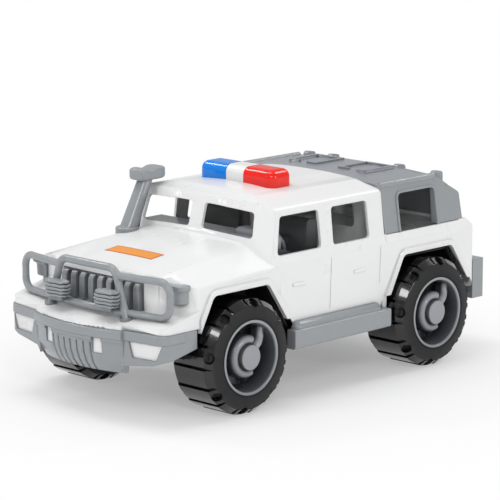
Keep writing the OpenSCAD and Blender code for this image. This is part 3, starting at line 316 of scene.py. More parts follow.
def paint_dish_shade(tree, skin, shader):
    """Rim: painted shade on the deep parts of the dish, by the mesh's deep value."""
    preset(skin, {"Crevice Reach": 0.06})
    deep = add_node(tree, "ShaderNodeAttribute", attribute_name="deep")
    shade = add_node(
        tree, "ShaderNodeMix", {"B": (0.52, 0.52, 0.54, 1)}, data_type="RGBA", blend_type="MULTIPLY")
    wire(
        tree, (deep, "Fac", shade, "Factor"), (skin, "Colour", shade, "A"),
        (shade, "Result", shader, "Base Color"))


def matt_sidewall(tree, skin, shader):
    """Tyre: a dull grey-black sidewall under glossy black tread, split by the mesh's tread value."""
    preset(shader, {"Specular IOR Level": 0.28})
    tread = add_node(tree, "ShaderNodeAttribute", attribute_name="tread")
    rough = add_node(tree, "ShaderNodeMix", {"A": 0.62}, data_type="FLOAT")
    pale = add_node(tree, "ShaderNodeMix", {"A": (0.016, 0.016, 0.017, 1)}, data_type="RGBA")
    gloss = add_maths(tree, "MULTIPLY", {1: 0.8})
    wire(
        tree, (tread, "Fac", gloss, 0), (gloss, "Value", shader, "Coat Weight"),
        (tread, "Fac", rough, "Factor"), (skin, "Roughness", rough, "B"),
        (rough, "Result", shader, "Roughness"), (tread, "Fac", pale, "Factor"),
        (skin, "Colour", pale, "B"), (pale, "Result", shader, "Base Color"))


# Mesh helpers

def linked(name, mesh):
    """A new object in the scene."""
    piece = bpy.data.objects.new(name, mesh)
    bpy.context.scene.collection.objects.link(piece)
    return piece


def mesh_from(name, bm):
    """A mesh from bmesh work."""
    mesh = bpy.data.meshes.new(name)
    bm.to_mesh(mesh)
    bm.free()
    return mesh


@contextmanager
def edited(mesh):
    """The mesh as bmesh work, put back at the end."""
    bm = bmesh.new()
    bm.from_mesh(mesh)
    yield bm
    bm.to_mesh(mesh)
    bm.free()


def evaluated(piece):
    """The piece with its modifiers worked in, as a plain mesh."""
    graph = bpy.context.evaluated_depsgraph_get()
    graph.update()
    mesh = bpy.data.meshes.new_from_object(
        piece.evaluated_get(graph), preserve_all_data_layers=True, depsgraph=graph)
    piece.modifiers.clear()
    old, piece.data = piece.data, mesh
    if old.users == 0:
        bpy.data.meshes.remove(old)
    return piece


def settle(mesh, sharp=28.0, flat=0.6):
    """Merges doubles, joins faces that are flat together and marks the sharp edges."""
    with edited(mesh) as bm:
        bmesh.ops.remove_doubles(bm, verts=bm.verts, dist=MERGE)
        bmesh.ops.dissolve_degenerate(bm, edges=bm.edges, dist=MERGE)
        bmesh.ops.dissolve_limit(
            bm, angle_limit=math.radians(flat), verts=bm.verts, edges=bm.edges, use_dissolve_boundaries=False)
    mesh.shade_smooth()
    mesh.set_sharp_from_angle(angle=math.radians(sharp))
    mesh.update()
    return mesh


def node_box(node):
    """Lowest and highest corner of a CAD node."""
    return [Vector(c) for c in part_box(node)]


def node_mesh(node):
    """A copy of a CAD node's mesh, merged, without materials."""
    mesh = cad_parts[node].data.copy()
    mesh.materials.clear()
    with edited(mesh) as bm:
        bmesh.ops.remove_doubles(bm, verts=bm.verts, dist=MERGE)
    return mesh


def node_surface(node):
    """A search tree of a CAD node's mesh."""
    bm = bmesh.new()
    bm.from_mesh(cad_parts[node].data)
    tree = BVHTree.FromBMesh(bm)
    bm.free()
    return tree


def hit(surface, start, way):
    """The point where a ray meets a surface."""
    point = surface.ray_cast(start, way)[0]
    if point is None:
        raise RuntimeError("a ray finds no surface")
    return point


def combined(piece, others, operation):
    """Boolean of a piece with other objects, which are then removed."""
    operands = bpy.data.collections.new("combining")
    bpy.context.scene.collection.children.link(operands)
    for other in others:
        bpy.context.scene.collection.objects.unlink(other)
        operands.objects.link(other)
    step = piece.modifiers.new("combine", "BOOLEAN")
    step.operation = operation
    step.operand_type = "COLLECTION"
    step.collection = operands
    step.solver = "EXACT"
    step.use_self = False
    evaluated(piece)
    for other in others:
        bpy.data.objects.remove(other)
    bpy.data.collections.remove(operands)
    return piece


def united(name, nodes):
    """One object from CAD nodes that touch."""
    first, *others = [linked(node + "_part", node_mesh(node)) for node in nodes]
    first.name = name
    return combined(first, others, "UNION")


def joined(name, pieces):
    """One object from several meshes."""
    bm = bmesh.new()
    for piece in pieces:
        bm.from_mesh(piece.data)
        bpy.data.objects.remove(piece)
    return linked(name, mesh_from(name, bm))


def placed(piece, material, nodes=(), body="vehicle", weighted=True):
    """Gives a finished piece its material and its body, and hides the CAD nodes it stands for."""
    piece.data.materials.clear()
    piece.data.materials.append(finish(material))
    for face in piece.data.polygons:
        face.material_index = 0
    if weighted:
        normals = piece.modifiers.new("weighted_normals", "WEIGHTED_NORMAL")
        normals.keep_sharp = True
        normals.weight = 80
    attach(piece, body)
    if nodes:
        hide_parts(*nodes)


def refined_nodes(nodes, material):
    """Smooth copies of CAD nodes, one piece for each."""
    for node in nodes:
        piece = linked(node + "_moulding", settle(node_mesh(node), 32.0))
        placed(piece, material, (node,))


def lofted(name, rings, looped=False):
    """A closed solid through rings of points: one point is a tip, and a loop goes back to the first ring."""
    bm = bmesh.new()
    rows = [[bm.verts.new(point) for point in ring] for ring in rings]
    steps = max(len(row) for row in rows)
    if not looped:
        for row in (rows[0], rows[-1]):
            if len(row) > 1:
                bm.faces.new(row)
    for a, b in zip(rows, rows[1:] + rows[:1] if looped else rows[1:]):
        for i in range(steps):
            j = (i + 1) % steps
            corners = list(dict.fromkeys((a[i % len(a)], a[j % len(a)], b[j % len(b)], b[i % len(b)])))
            if len(corners) > 2:
                bm.faces.new(corners)
    bmesh.ops.recalc_face_normals(bm, faces=bm.faces)
    return linked(name, mesh_from(name, bm))


def prism(name, ring, offset):
    """A closed prism from a ring of points moved by an offset."""
    return lofted(name, [ring, [Vector(point) + Vector(offset) for point in ring]])


def turned(name, profile, steps=96, axis="Y"):
    """A closed solid turned round an axis from rows of radius and place along it."""
    rings = []
    for radius, along in profile:
        turns = [2 * math.pi * i / steps for i in range(steps if radius else 1)]
        ring = [(radius * math.cos(a), radius * math.sin(a)) for a in turns]
        rings.append([(u, along, v) if axis == "Y" else (u, v, along) for u, v in ring])
    return lofted(name, rings, looped=len(rings[0]) > 1)


def swept(name, path, section, up):
    """A closed strip along a path in a plane: the section's rows run outward and along the plane's normal."""
    path, up = [Vector(point) for point in path], Vector(up)
    rings = []
    for i, point in enumerate(path):
        run = path[min(i + 1, len(path) - 1)] - path[max(i - 1, 0)]
        out = run.cross(up).normalized()
        rings.append([point + out * d + up * h for d, h in section])
    return lofted(name, rings)


def rounded(rows, steps=6):
    """Rounds the corners of a path of rows: two coordinates and a radius."""
    points = []
    for i, (x, y, r) in enumerate(rows):
        q = Vector((x, y))
        if r <= 0 or i in (0, len(rows) - 1):
            points.append((x, y))
            continue
        p, s = Vector(rows[i - 1][:2]), Vector(rows[i + 1][:2])
        a, b = (p - q).normalized(), (s - q).normalized()
        half = math.acos(max(-1, min(1, a.dot(b)))) / 2
        run = r / math.tan(half)
        centre = q + (a + b).normalized() * (r / math.sin(half))
        start, end = q + a * run - centre, q + b * run - centre
        sweep = start.angle_signed(end)
        for k in range(steps + 1):
            v = start.copy()
            v.rotate(Matrix.Rotation(-sweep * k / steps, 2))
            points.append(tuple(centre + v))
    return points


def rounded_box(name, low, high, radius, segments=3):
    """A box with round edges."""
    bm = bmesh.new()
    low, high = Vector(low), Vector(high)
    size = high - low
    place = Matrix.Translation((low + high) / 2) @ Matrix.Diagonal((*size, 1))
    bmesh.ops.create_cube(bm, size=1.0, matrix=place)
    bmesh.ops.bevel(
        bm, geom=bm.edges[:], offset=min(radius, 0.49 * min(size)), segments=segments, profile=0.5,
        affect="EDGES", clamp_overlap=True)
    return linked(name, mesh_from(name, bm))


# Geometry node trees for what repeats

def array_tree(turning):
    """Geometry tree: copies of a part along a line, or turned about an axis through the origin."""
    name = "turned_array" if turning else "row_array"
    tree = bpy.data.node_groups.get(name)
    if tree:
        return tree
    tree = bpy.data.node_groups.new(name, "GeometryNodeTree")
    tree.is_modifier = True
    sockets(tree, True, (("Part", "Geometry", None), ("Count", "Int", 5), ("Material", "Material", None)))
    sockets(tree, True, (
        ("Start", "Float", 0.0), ("Step", "Float", 0.1), ("Axis", "Vector", (0, 0, 1))) if turning else (
        ("Start", "Vector", (0, 0, 0)), ("Offset", "Vector", (0, 0, 0)), ("Taper", "Float", 0.0)))
    sockets(tree, False, (("Geometry", "Geometry", None),))
    source, sink = add_node(tree, "NodeGroupInput"), add_node(tree, "NodeGroupOutput")
    line = add_node(tree, "GeometryNodeMeshLine", {"Offset": (0, 0, 0)})
    copies = add_node(tree, "GeometryNodeInstanceOnPoints")
    real = add_node(tree, "GeometryNodeRealizeInstances")
    paint = add_node(tree, "GeometryNodeSetMaterial")
    wire(
        tree, (source, "Count", line, "Count"), (line, "Mesh", copies, "Points"),
        (source, "Part", copies, "Instance"), (copies, "Instances", real, "Geometry"),
        (real, "Geometry", paint, "Geometry"), (source, "Material", paint, "Material"),
        (paint, "Geometry", sink, "Geometry"))
    if turning:
        turn_copies(tree, source, copies)
    else:
        wire(tree, (source, "Start", line, "Start Location"), (source, "Offset", line, "Offset"))
        taper_copies(tree, source, copies)
    return tree


def turn_copies(tree, source, copies):
    """Turns each copy by a step more than the last."""
    index = add_node(tree, "GeometryNodeInputIndex")
    reach = add_maths(tree, "MULTIPLY_ADD")
    spin = add_node(tree, "FunctionNodeAxisAngleToRotation")
    wire(
        tree, (index, "Index", reach, 0), (source, "Step", reach, 1), (source, "Start", reach, 2),
        (source, "Axis", spin, "Axis"), (reach, "Value", spin, "Angle"),
        (spin, "Rotation", copies, "Rotation"))


def taper_copies(tree, source, copies):
    """Scales each copy: 1 in the middle of the row, less towards both ends."""
    index = add_node(tree, "GeometryNodeInputIndex")
    last, share = add_maths(tree, "SUBTRACT", {1: 1.0}), add_maths(tree, "DIVIDE")
    signed, square = add_maths(tree, "MULTIPLY_ADD", {1: 2.0, 2: -1.0}), add_maths(tree, "MULTIPLY")
    loss, scale = add_maths(tree, "MULTIPLY"), add_maths(tree, "SUBTRACT", {0: 1.0})
    wire(
        tree, (source, "Count", last, 0), (index, "Index", share, 0), (last, "Value", share, 1),
        (share, "Value", signed, 0), (signed, "Value", square, 0), (signed, "Value", square, 1),
        (square, "Value", loss, 0), (source, "Taper", loss, 1), (loss, "Value", scale, 1),
        (scale, "Value", copies, "Scale"))


def repeated(part, turning, material, **values):
    """Runs an array tree on a part and keeps the result as its mesh."""
    tree = array_tree(turning)
    step = part.modifiers.new("array", "NODES")
    step.node_group = tree
    values["Material"] = finish(material)
    for socket in tree.interface.items_tree:
        if socket.in_out == "INPUT" and socket.name in values:
            step[socket.identifier] = values[socket.name]
    return evaluated(part)


# Pieces

def side_y(z):
    """Half width of the body's side at a height."""
    return SIDE_FOOT_Y + (z - SIDE_FOOT_Z) * SIDE_OUT / SIDE_UP


def side_strip(name, x0, x1, low, high, inner, outer, side):
    """A prism on a body side between two depths measured from its surface."""
    ring = [(x0, side * (side_y(z) + depth), z) for z, depth in (
        (low, inner), (low, outer), (high, outer), (high, inner))]
    return prism(name, ring, (x1 - x0, 0, 0))


def rear_x(surface, y, z):
    """Place of a node's back at a height."""
    return hit(surface, (BEHIND, y, z), (1, 0, 0)).x


def rear_strip(name, surface, y0, y1, low, high, inner, outer):
    """A prism on the back of a node between two depths measured from its surface."""
    short, many = mm(4), 16
    steps = 1 if high - low < short else many
    heights = [low + (high - low) * k / steps for k in range(steps + 1)]
    rows = [(rear_x(surface, (y0 + y1) / 2, z), z) for z in heights]
    ring = [(x - outer, y0, z) for x, z in rows] + [(x + inner, y0, z) for x, z in reversed(rows)]
    return prism(name, ring, (0, y1 - y0, 0))


def rear_outline(surface, outline):
    """Cutters for a shallow outline on the back of a node, from its half width, foot and top."""
    s = settings().sizes
    half, low, high = outline
    width, depth, proud = s.seam_width * 1.3, s.seam_depth * 1.6, 0.002
    cutters = [rear_strip("line", surface, side * half, side * (half + width), low, high, depth, proud)
               for side in (-1, 1)]
    for z in (low, high):
        cutters.append(rear_strip("line", surface, -half, half, z, z + width, depth, proud))
    return cutters


class PATROL_OT_body(bpy.types.Operator):
    """Joins the white panels into one moulding with its door lines and handles."""

    bl_idname = "patrol.body"
    bl_label = "Body moulding"

    def execute(self, context):
        """Makes the pieces."""
        s = settings().sizes
        body, tail = united("body_moulding", WHITE_PANELS), node_surface("tailgate")
        fillers, cutters, handles = [], [], []
        handle_y, handle_edge = side_y(HANDLE_MIDDLE), 0.0009
        for side in (-1, 1):
            joint = [(CAB_JOINT_X, side * y, z) for y, z in CAB_JOINT]
            fillers += [
                prism("cab_joint", joint, (CAB_JOINT_RUN, 0, 0)),
                side_strip("pillar_joint", mm(53.5), mm(62), mm(98), mm(104.4), mm(-4), mm(0.02), side),
                rear_strip("tail_lamp", tail, side * mm(50), side * mm(62), mm(84), mm(99), 0.001, 0.0009)]
            for x, low in DOOR_LINES:
                cutters.append(side_strip(
                    "seam", x, x + s.seam_width, low, DOOR_TOP, -s.seam_depth, 0.003, side))
            inner, outer = sorted((side * (handle_y - 0.001), side * (handle_y + 0.0012)))
            for x in HANDLE_XS:
                handles.append(rounded_box(
                    "handle", (x, inner, HANDLE_LOW), (x + HANDLE_RUN, outer, HANDLE_HIGH), handle_edge))
        combined(body, fillers, "UNION")
        combined(body, cutters + rear_outline(tail, TAIL_OUTLINE), "DIFFERENCE")
        settle(body.data, 28.0, 0.02)
        placed(body, "body_white", WHITE_PANELS)
        back = rear_x(tail, 0, mm(95.5))
        handles.append(rounded_box(
            "handle", (back - 0.0014, -mm(10), mm(94)), (back + 0.001, mm(10), mm(97)), handle_edge))
        placed(joined("door_handles", handles), "body_white")
        return {"FINISHED"}


class PATROL_OT_label(bpy.types.Operator):
    """Blank label with a border on the hood."""

    bl_idname = "patrol.label"
    bl_label = "Hood label"

    def execute(self, context):
        """Makes the pieces."""
        surface, thick = node_surface("hood"), 0.0006
        across, along = 40, 12
        for name, inset, lift, material in (
                ("hood_label_border", 0.0, 0.00015, "label_edge"),
                ("hood_label", 0.0011, 0.00024, "label_orange")):
            low, high = LABEL_LOW + Vector((inset, inset)), LABEL_HIGH - Vector((inset, inset))
            bm = bmesh.new()
            rows = []
            for i in range(along + 1):
                x = low.x + (high.x - low.x) * i / along
                rows.append([])
                for j in range(across + 1):
                    y = low.y + (high.y - low.y) * j / across
                    top = hit(surface, (x, y, ABOVE), (0, 0, -1)).z
                    rows[i].append(bm.verts.new((x, y, top + lift)))
            for a, b in zip(rows, rows[1:]):
                for j in range(across):
                    bm.faces.new((a[j], b[j], b[j + 1], a[j + 1]))
            for item in bmesh.ops.extrude_face_region(bm, geom=bm.faces[:])["geom"]:
                if isinstance(item, bmesh.types.BMVert):
                    item.co.z -= thick
            bmesh.ops.recalc_face_normals(bm, faces=bm.faces)
            placed(linked(name, mesh_from(name, bm)), material, weighted=False)
        return {"FINISHED"}


class PATROL_OT_canopy(bpy.types.Operator):
    """Canopy walls in one moulding, and its roof."""

    bl_idname = "patrol.canopy"
    bl_label = "Canopy"

    def execute(self, context):
        """Makes the pieces."""
        walls = united("canopy_walls", CANOPY_WALLS)
        combined(walls, rear_outline(node_surface("canopy_rear"), HATCH_OUTLINE), "DIFFERENCE")
        settle(walls.data, 28.0, 0.02)
        placed(walls, "fitting_grey", CANOPY_WALLS)
        refined_nodes(("canopy_roof",), "canopy_grey")
        return {"FINISHED"}


class PATROL_OT_fittings(bpy.types.Operator):
    """Bumpers, steps, bull bar and corner lamps."""

    bl_idname = "patrol.fittings"
    bl_label = "Grey fittings"

    def execute(self, context):
        """Makes the pieces."""
        refined_nodes(("side_step_left", "side_step_right", "bull_bar"), "fitting_grey")
        back = node_box("rear_bumper")[0].x
        grooves = [rounded_box(
            "groove", (back - 0.002, mm(y - 0.7), mm(47)), (back + 0.0009, mm(y + 0.7), mm(70)), 0.0003, 1)
            for y in range(-28, 29, 8)]
        openings = [side_panel(side, BUMPER_OPENING, -0.004, 0.0034) for side in (-1, 1)]
        for node, cutters in (("rear_bumper", grooves), ("front_bumper", openings)):
            piece = combined(linked(node + "_moulding", node_mesh(node)), cutters, "DIFFERENCE")
            settle(piece.data, 32.0)
            placed(piece, "fitting_grey", (node,))
        for side, node in ((1, "corner_lamp_left"), (-1, "corner_lamp_right")):
            placed(corner_lamp(node + "_moulding", side), "fitting_grey", (node,))
        section = [
            (BAND_ROOT, BAND_LOW), (BAND_PROUD - 0.0006, BAND_LOW), (BAND_PROUD, BAND_LOW + 0.0006),
            (BAND_PROUD, BAND_HIGH - 0.0012), (BAND_PROUD - 0.0004, BAND_HIGH - 0.0004),
            (BAND_PROUD - 0.0012, BAND_HIGH), (BAND_ROOT, BAND_HIGH)]
        band = joined("bumper_band", [swept("band", rows, section, (0, 0, 1)) for rows in band_paths()])
        settle(band.data, 40.0)
        placed(band, "fitting_grey")
        inserts = []
        for side in (-1, 1):
            inserts += [slot_insert(side), side_panel(side, BUMPER_INSERT, 0.0016, 0.0028)]
        placed(joined("bumper_inserts", inserts), "body_white", weighted=False)
        return {"FINISHED"}


def corner_lamp(name, side):
    """A lamp round the body's front corner, with an overhanging lip on top."""
    rear, inner = mm(147), mm(66)
    rings = []
    for grow, z in (
            (-2.4, 89.5), (-1.6, 90), (-1.3, 98), (-0.9, 99.2), (0.5, 100.2), (0.9, 101.2), (0.9, 103),
            (0.6, 103.7), (-0.2, 104.1)):
        x, y = mm(156.4 + grow), mm(82.4 + grow)
        ring = rounded([
            (rear, inner, 0), (x, inner, 0), (x + mm(0.6), mm(71), 0.02), (x, y, 0.007),
            (rear, y - mm(0.4), 0)], 8)
        rings.append([(u, side * v, mm(z)) for u, v in ring])
    piece = lofted(name, rings)
    settle(piece.data, 40.0)
    return piece


def bumper_point(turn, depth, z):
    """A point at a depth behind the curved middle of the bumper."""
    radius = BUMPER_RADIUS - depth
    return BUMPER_CENTRE + radius * math.cos(turn), radius * math.sin(turn), z


def band_paths():
    """Plan paths of the band on the bumper: the curved middle and both side sections."""
    half, steps = math.asin(BUMPER_MIDDLE / BUMPER_RADIUS), 32
    middle = [bumper_point(-half + 2 * half * k / steps, 0, 0) for k in range(steps + 1)]
    corner = BUMPER_SIDE_FAR
    side = rounded([(mm(181.2), mm(46.5), 0), (*corner, 0.009), (mm(155), corner[1], 0)], 8)
    return middle, [(x, y, 0) for x, y in side], [(x, -y, 0) for x, y in reversed(side)]


def side_panel(side, corners, front, back):
    """A plate along the bumper's side section: corners by run and height, faces by depth."""
    near, far = Vector(BUMPER_SIDE_NEAR), Vector(BUMPER_SIDE_FAR)
    along = (far - near).normalized()
    inward = Vector((-along.y, along.x))
    ring = []
    for run, z in corners:
        q = near + along * run + inward * front
        ring.append((q.x, side * q.y, z))
    push = inward * (back - front)
    return prism("panel", ring, (push.x, side * push.y, 0))


def slot_insert(side):
    """White wall close behind one slot of the bumper's middle section."""
    front, back, steps = [], [], 6
    for k in range(steps + 1):
        turn = side * math.asin(mm(21 + 10.5 * k / steps) / BUMPER_RADIUS)
        for row, depth in ((front, 0.0026), (back, 0.0036)):
            row.append(bumper_point(turn, depth, mm(50.8)))
    return prism("insert", front + back[::-1], (0, 0, mm(12.8)))


def slat(pitch):
    """One upright grille slat with soft edges and a sloping top."""
    low, high = node_box("grille")
    half = 0.29 * pitch
    x0, x1 = high.x - 0.0075, high.x
    ring = [
        (x0, -half, low.z), (x1, -half, low.z), (x1 - 0.0006, -half, high.z - 0.004),
        (x1 - 0.0026, -half, high.z - 0.0014), (x0, -half, high.z - 0.0006)]
    piece = prism("slat", ring, (0, 2 * half, 0))
    with edited(piece.data) as bm:
        bmesh.ops.bevel(
            bm, geom=bm.edges[:], offset=0.0007, segments=3, profile=0.5, affect="EDGES", clamp_overlap=True)
    return piece


class PATROL_OT_grille(bpy.types.Operator):
    """Grille: a row of slats before a dark wall."""

    bl_idname = "patrol.grille"
    bl_label = "Grille"

    def execute(self, context):
        """Makes the pieces."""
        count = settings().sizes.slat_count
        low, high = node_box("grille")
        pitch = GRILLE_WIDTH / count
        slats = repeated(
            slat(pitch), False, "fitting_grey", Count=count, Start=(0, -pitch * (count - 1) / 2, 0),
            Offset=(0, pitch, 0))
        settle(slats.data)
        placed(slats, "fitting_grey", ("grille",))
        back = rounded_box("grille_wall", low, (low.x + 0.005, high.y, high.z), 0.0004, 1)
        placed(back, "canopy_grey")
        return {"FINISHED"}


def lamp_fin():
    """One wavy oval fin about the origin."""
    steps, waves, wave, face = 72, 7, 0.00026, 0.00116
    deep, wide = mm(5.8), mm(11.6)
    rings = [[(0, 0, -face)]]
    for grow, height in (
            (0.84, -face), (0.95, -0.00095), (1.0, -0.0003), (1.0, 0.0003), (0.95, 0.00095), (0.84, face)):
        ring = []
        for i in range(steps):
            a = 2 * math.pi * i / steps
            x, y = (math.copysign(abs(c) ** 0.6, c) for c in (math.cos(a), math.sin(a)))
            ring.append((deep * grow * x, wide * grow * y, height + wave * math.sin(waves * a)))
        rings.append(ring)
    return lofted("lamp_fin", [*rings, [(0, 0, face)]])


class PATROL_OT_lamps(bpy.types.Operator):
    """Auxiliary lamps with wavy fins."""

    bl_idname = "patrol.lamps"
    bl_label = "Auxiliary lamps"

    def execute(self, context):
        """Makes the pieces."""
        count, core_radius = settings().sizes.fin_count, mm(5.6)
        arc = [math.radians(a) for a in range(-75, 90, 15)]
        profile = [(core_radius * math.cos(t), LAMP_HALF * math.sin(t)) for t in arc]
        x, y, z = LAMP_MIDDLE
        for side, name in ((1, "left"), (-1, "right")):
            node = "auxiliary_lamp_" + name
            middle = Vector((x, side * y, z))
            fins = repeated(
                lamp_fin(), False, "fitting_grey", Count=count, Taper=0.12,
                Start=middle - Vector((0, 0, LAMP_PITCH * (count - 1) / 2)), Offset=(0, 0, LAMP_PITCH))
            core = turned("core", [(0, -LAMP_HALF), *profile, (0, LAMP_HALF)], 32)
            core.data.transform(Matrix.Translation(middle) @ Matrix.Diagonal((0.82, 1, 1, 1)))
            foot = rounded_box("foot", middle + mm(-7.4, -3.4, -10), middle + mm(-0.5, 3.4, -3), 0.001)
            lamp = joined(node + "_moulding", [fins, core, foot])
            settle(lamp.data, 40.0)
            placed(lamp, "fitting_grey", (node,))
        return {"FINISHED"}


class PATROL_OT_snorkel(bpy.types.Operator):
    """Snorkel: a tapered tube with a round saddle-shaped head."""

    bl_idname = "patrol.snorkel"
    bl_label = "Snorkel"

    def execute(self, context):
        """Makes the piece."""
        foot, reach, lean = SNORKEL_FOOT, SNORKEL_REACH, SNORKEL_LEAN
        tube = turned("tube", [
            (0, -0.004), (mm(7), -0.004), (mm(7), 0), (mm(5.6), reach), (mm(5.2), reach + 0.004),
            (0, reach + 0.004)], 48, "Z")
        tube.data.transform(Matrix.Translation(foot) @ Matrix.Rotation(-lean, 4, "Y"))
        flange = turned("flange", [
            (0, -0.003), (mm(9.2), -0.003), (mm(9.2), mm(3.6)), (mm(8.6), mm(4.5)), (mm(7), mm(5)),
            (0, mm(5))], 48, "Z")
        flange.data.transform(Matrix.Translation(foot))
        head = saddle_head()
        tip = foot + Vector((-math.sin(lean), 0, math.cos(lean))) * (reach + mm(3.6))
        head.data.transform(Matrix.Translation(tip))
        piece = joined("snorkel_moulding", [tube, flange, head])
        settle(piece.data, 40.0, 0.05)
        placed(piece, "fitting_grey", ("snorkel",))
        return {"FINISHED"}


def saddle_head():
    """The snorkel's head about the origin: a soft box with a dip across its top."""
    dip, dip_place, dip_width = 0.0022, 0.08, 0.3
    half = mm(14.4, 7.8, 5.2)
    bm = bmesh.new()
    bmesh.ops.create_uvsphere(bm, u_segments=64, v_segments=40, radius=1.0)
    for vert in bm.verts:
        x, y, z = (math.copysign(abs(c) ** 0.42, c) for c in vert.co)
        size = (abs(x) ** 5 + abs(y) ** 5 + abs(z) ** 5) ** 0.2
        x, y, z = x / size, y / size, z / size
        drop = dip * math.exp(-((x - dip_place) / dip_width) ** 2) * max(0.0, z)
        vert.co = (half.x * x, half.y * y, half.z * z - drop)
    return linked("head", mesh_from("head", bm))


class PATROL_OT_liners(bpy.types.Operator):
    """Black wheel wells behind the arches."""

    bl_idname = "patrol.liners"
    bl_label = "Wheel wells"

    def execute(self, context):
        """Makes the piece."""
        wells = [wheel_well(axle, top, side) for side in (-1, 1) for axle, top in WELLS]
        piece = joined("wheel_wells", wells)
        settle(piece.data)
        placed(piece, "chassis_black")
        return {"FINISHED"}


def wheel_well(axle, top, side):
    """A closed shell over one wheel: roof, ends and inner wall."""
    wall, roof, depth = mm(1.2), mm(1.1), mm(50.4)
    back, front = axle - mm(32.4), axle + mm(27.8)
    low_back, low_front = back - 0.68 * (top - WELL_FOOT), front + 0.52 * (top - WELL_FOOT)
    outer = [(low_back, WELL_FOOT), (low_front, WELL_FOOT), (front, top), (back, top)]
    inner = [
        (low_back + wall, WELL_FOOT - mm(0.5)), (low_front - wall, WELL_FOOT - mm(0.5)),
        (front - roof, top - roof), (back + roof, top - roof)]
    shell = prism("well", [(x, side * depth, z) for x, z in outer], (0, side * mm(28.4), 0))
    room = prism("room", [(x, side * (depth + wall), z) for x, z in inner], (0, side * mm(40), 0))
    return combined(shell, [room], "DIFFERENCE")


class PATROL_OT_lights(bpy.types.Operator):
    """Light bar on the roof."""

    bl_idname = "patrol.lights"
    bl_label = "Light bar"

    def execute(self, context):
        """Makes the pieces."""
        for node, end, material, slot in (
                ("light_bar_base", 0, "body_white", "white_plastic"),
                ("lens_blue", -1, "lens_blue", "blue_lens"), ("lens_red", 1, "lens_red", "red_lens")):
            placed(light_block(node, end), material, (node,))
        return {"FINISHED"}


def light_block(node, end):
    """A block of the light bar with round upper edges and, towards one end, a round end."""
    low, high = node_box(node)
    radius = settings().sizes.lens_edge
    rows = [(low.y, 0.0), (high.y, 0.0)]
    if end:
        start, stop = (low.y, high.y) if end > 0 else (-high.y, -low.y)
        rows = [(start, 0.0), *[
            (stop - radius * (1 - math.sin(t)), radius * (1 - math.cos(t)))
            for t in [math.radians(a) for a in range(0, 91, 10)]]]
    rings = []
    for y, inset in rows:
        x0, x1, top = low.x + inset, high.x - inset, high.z - inset
        bend = max(radius - inset, 0.0004)
        ring = rounded([(x0, low.z, 0), (x0, top, bend), (x1, top, bend), (x1, low.z, 0)], 10)
        rings.append([(x, y * (end or 1), z) for x, z in ring])
    piece = lofted(node + "_moulding", rings)
    settle(piece.data, 40.0, 0.05)
    return piece


class PATROL_OT_cabin(bpy.types.Operator):
    """Dashboard, steering wheel and seats."""

    bl_idname = "patrol.cabin"
    bl_label = "Cabin"

    def execute(self, context):
        """Makes the pieces."""
        refined_nodes(("dashboard", "seats"), "cabin_grey")
        sill = joined("dashboard_sill", [
            rounded_box("sill", mm(33, -66, 110), mm(57, 66, 122.2), 0.002, 4),
            rounded_box("pod", mm(36, 30, 114), mm(49, 64, 127), 0.0035, 5)])
        settle(sill.data, 40.0)
        placed(sill, "fitting_grey")
        refined_nodes(("steering_wheel",), "canopy_grey")
        return {"FINISHED"}


class PATROL_OT_underbody(bpy.types.Operator):
    """Chassis and axle rods."""

    bl_idname = "patrol.underbody"
    bl_label = "Underbody"

    def execute(self, context):
        """Makes the pieces."""
        refined_nodes(("chassis",), "chassis_black")
        refined_nodes(("axle_front", "axle_rear"), "axle_steel")
        return {"FINISHED"}


# Wheels

def tread_bar():
    """One tread bar at the top of the tyre, its surface falling a little towards one end."""
    s = settings().sizes
    top, edge, steps, fall = s.tyre_radius, s.tyre_width / 2, 6, 0.0007
    half = math.pi / s.bar_count - s.bar_gap / top / 2
    rows = [(top - 0.0058, 0.003), (top - 0.0046, 0.0015), (top, 0.0066)]
    rings = []
    for k in range(steps + 1):
        a = -half + 2 * half * k / steps
        ring = []
        for side in (1, -1):
            for radius, inset in rows[::side]:
                r = radius - (fall * k / steps if radius == top else 0)
                ring.append((r * math.sin(a), side * (edge - inset), r * math.cos(a)))
        rings.append(ring)
    return lofted("tread_bar", rings)


def shoulder_pockets():
    """Cutters for the round pockets at both ends of one bar."""
    s = settings().sizes
    y, z, lean = s.tyre_width / 2 - 0.0046, s.tyre_radius - 0.0036, math.radians(50)
    bm = bmesh.new()
    for side in (1, -1):
        place = Matrix.Translation((0, side * y, z)) @ Matrix.Rotation(-side * lean, 4, "X")
        bmesh.ops.create_cone(
            bm, cap_ends=True, segments=28, radius1=s.pocket_radius * 0.8, radius2=s.pocket_radius * 1.3,
            depth=0.008, matrix=place @ Matrix.Translation((0, 0, 0.0016)))
    return linked("pockets", mesh_from("pockets", bm))


def painted(piece, attribute, value):
    """The mesh of a piece, with a value at each point by its reach from the axle and place along it."""
    mesh = piece.data
    layer = mesh.attributes.new(attribute, "FLOAT", "POINT")
    for vert, item in zip(mesh.vertices, layer.data):
        item.value = value(math.hypot(vert.co.x, vert.co.z), vert.co.y)
    bpy.data.objects.remove(piece)
    return mesh


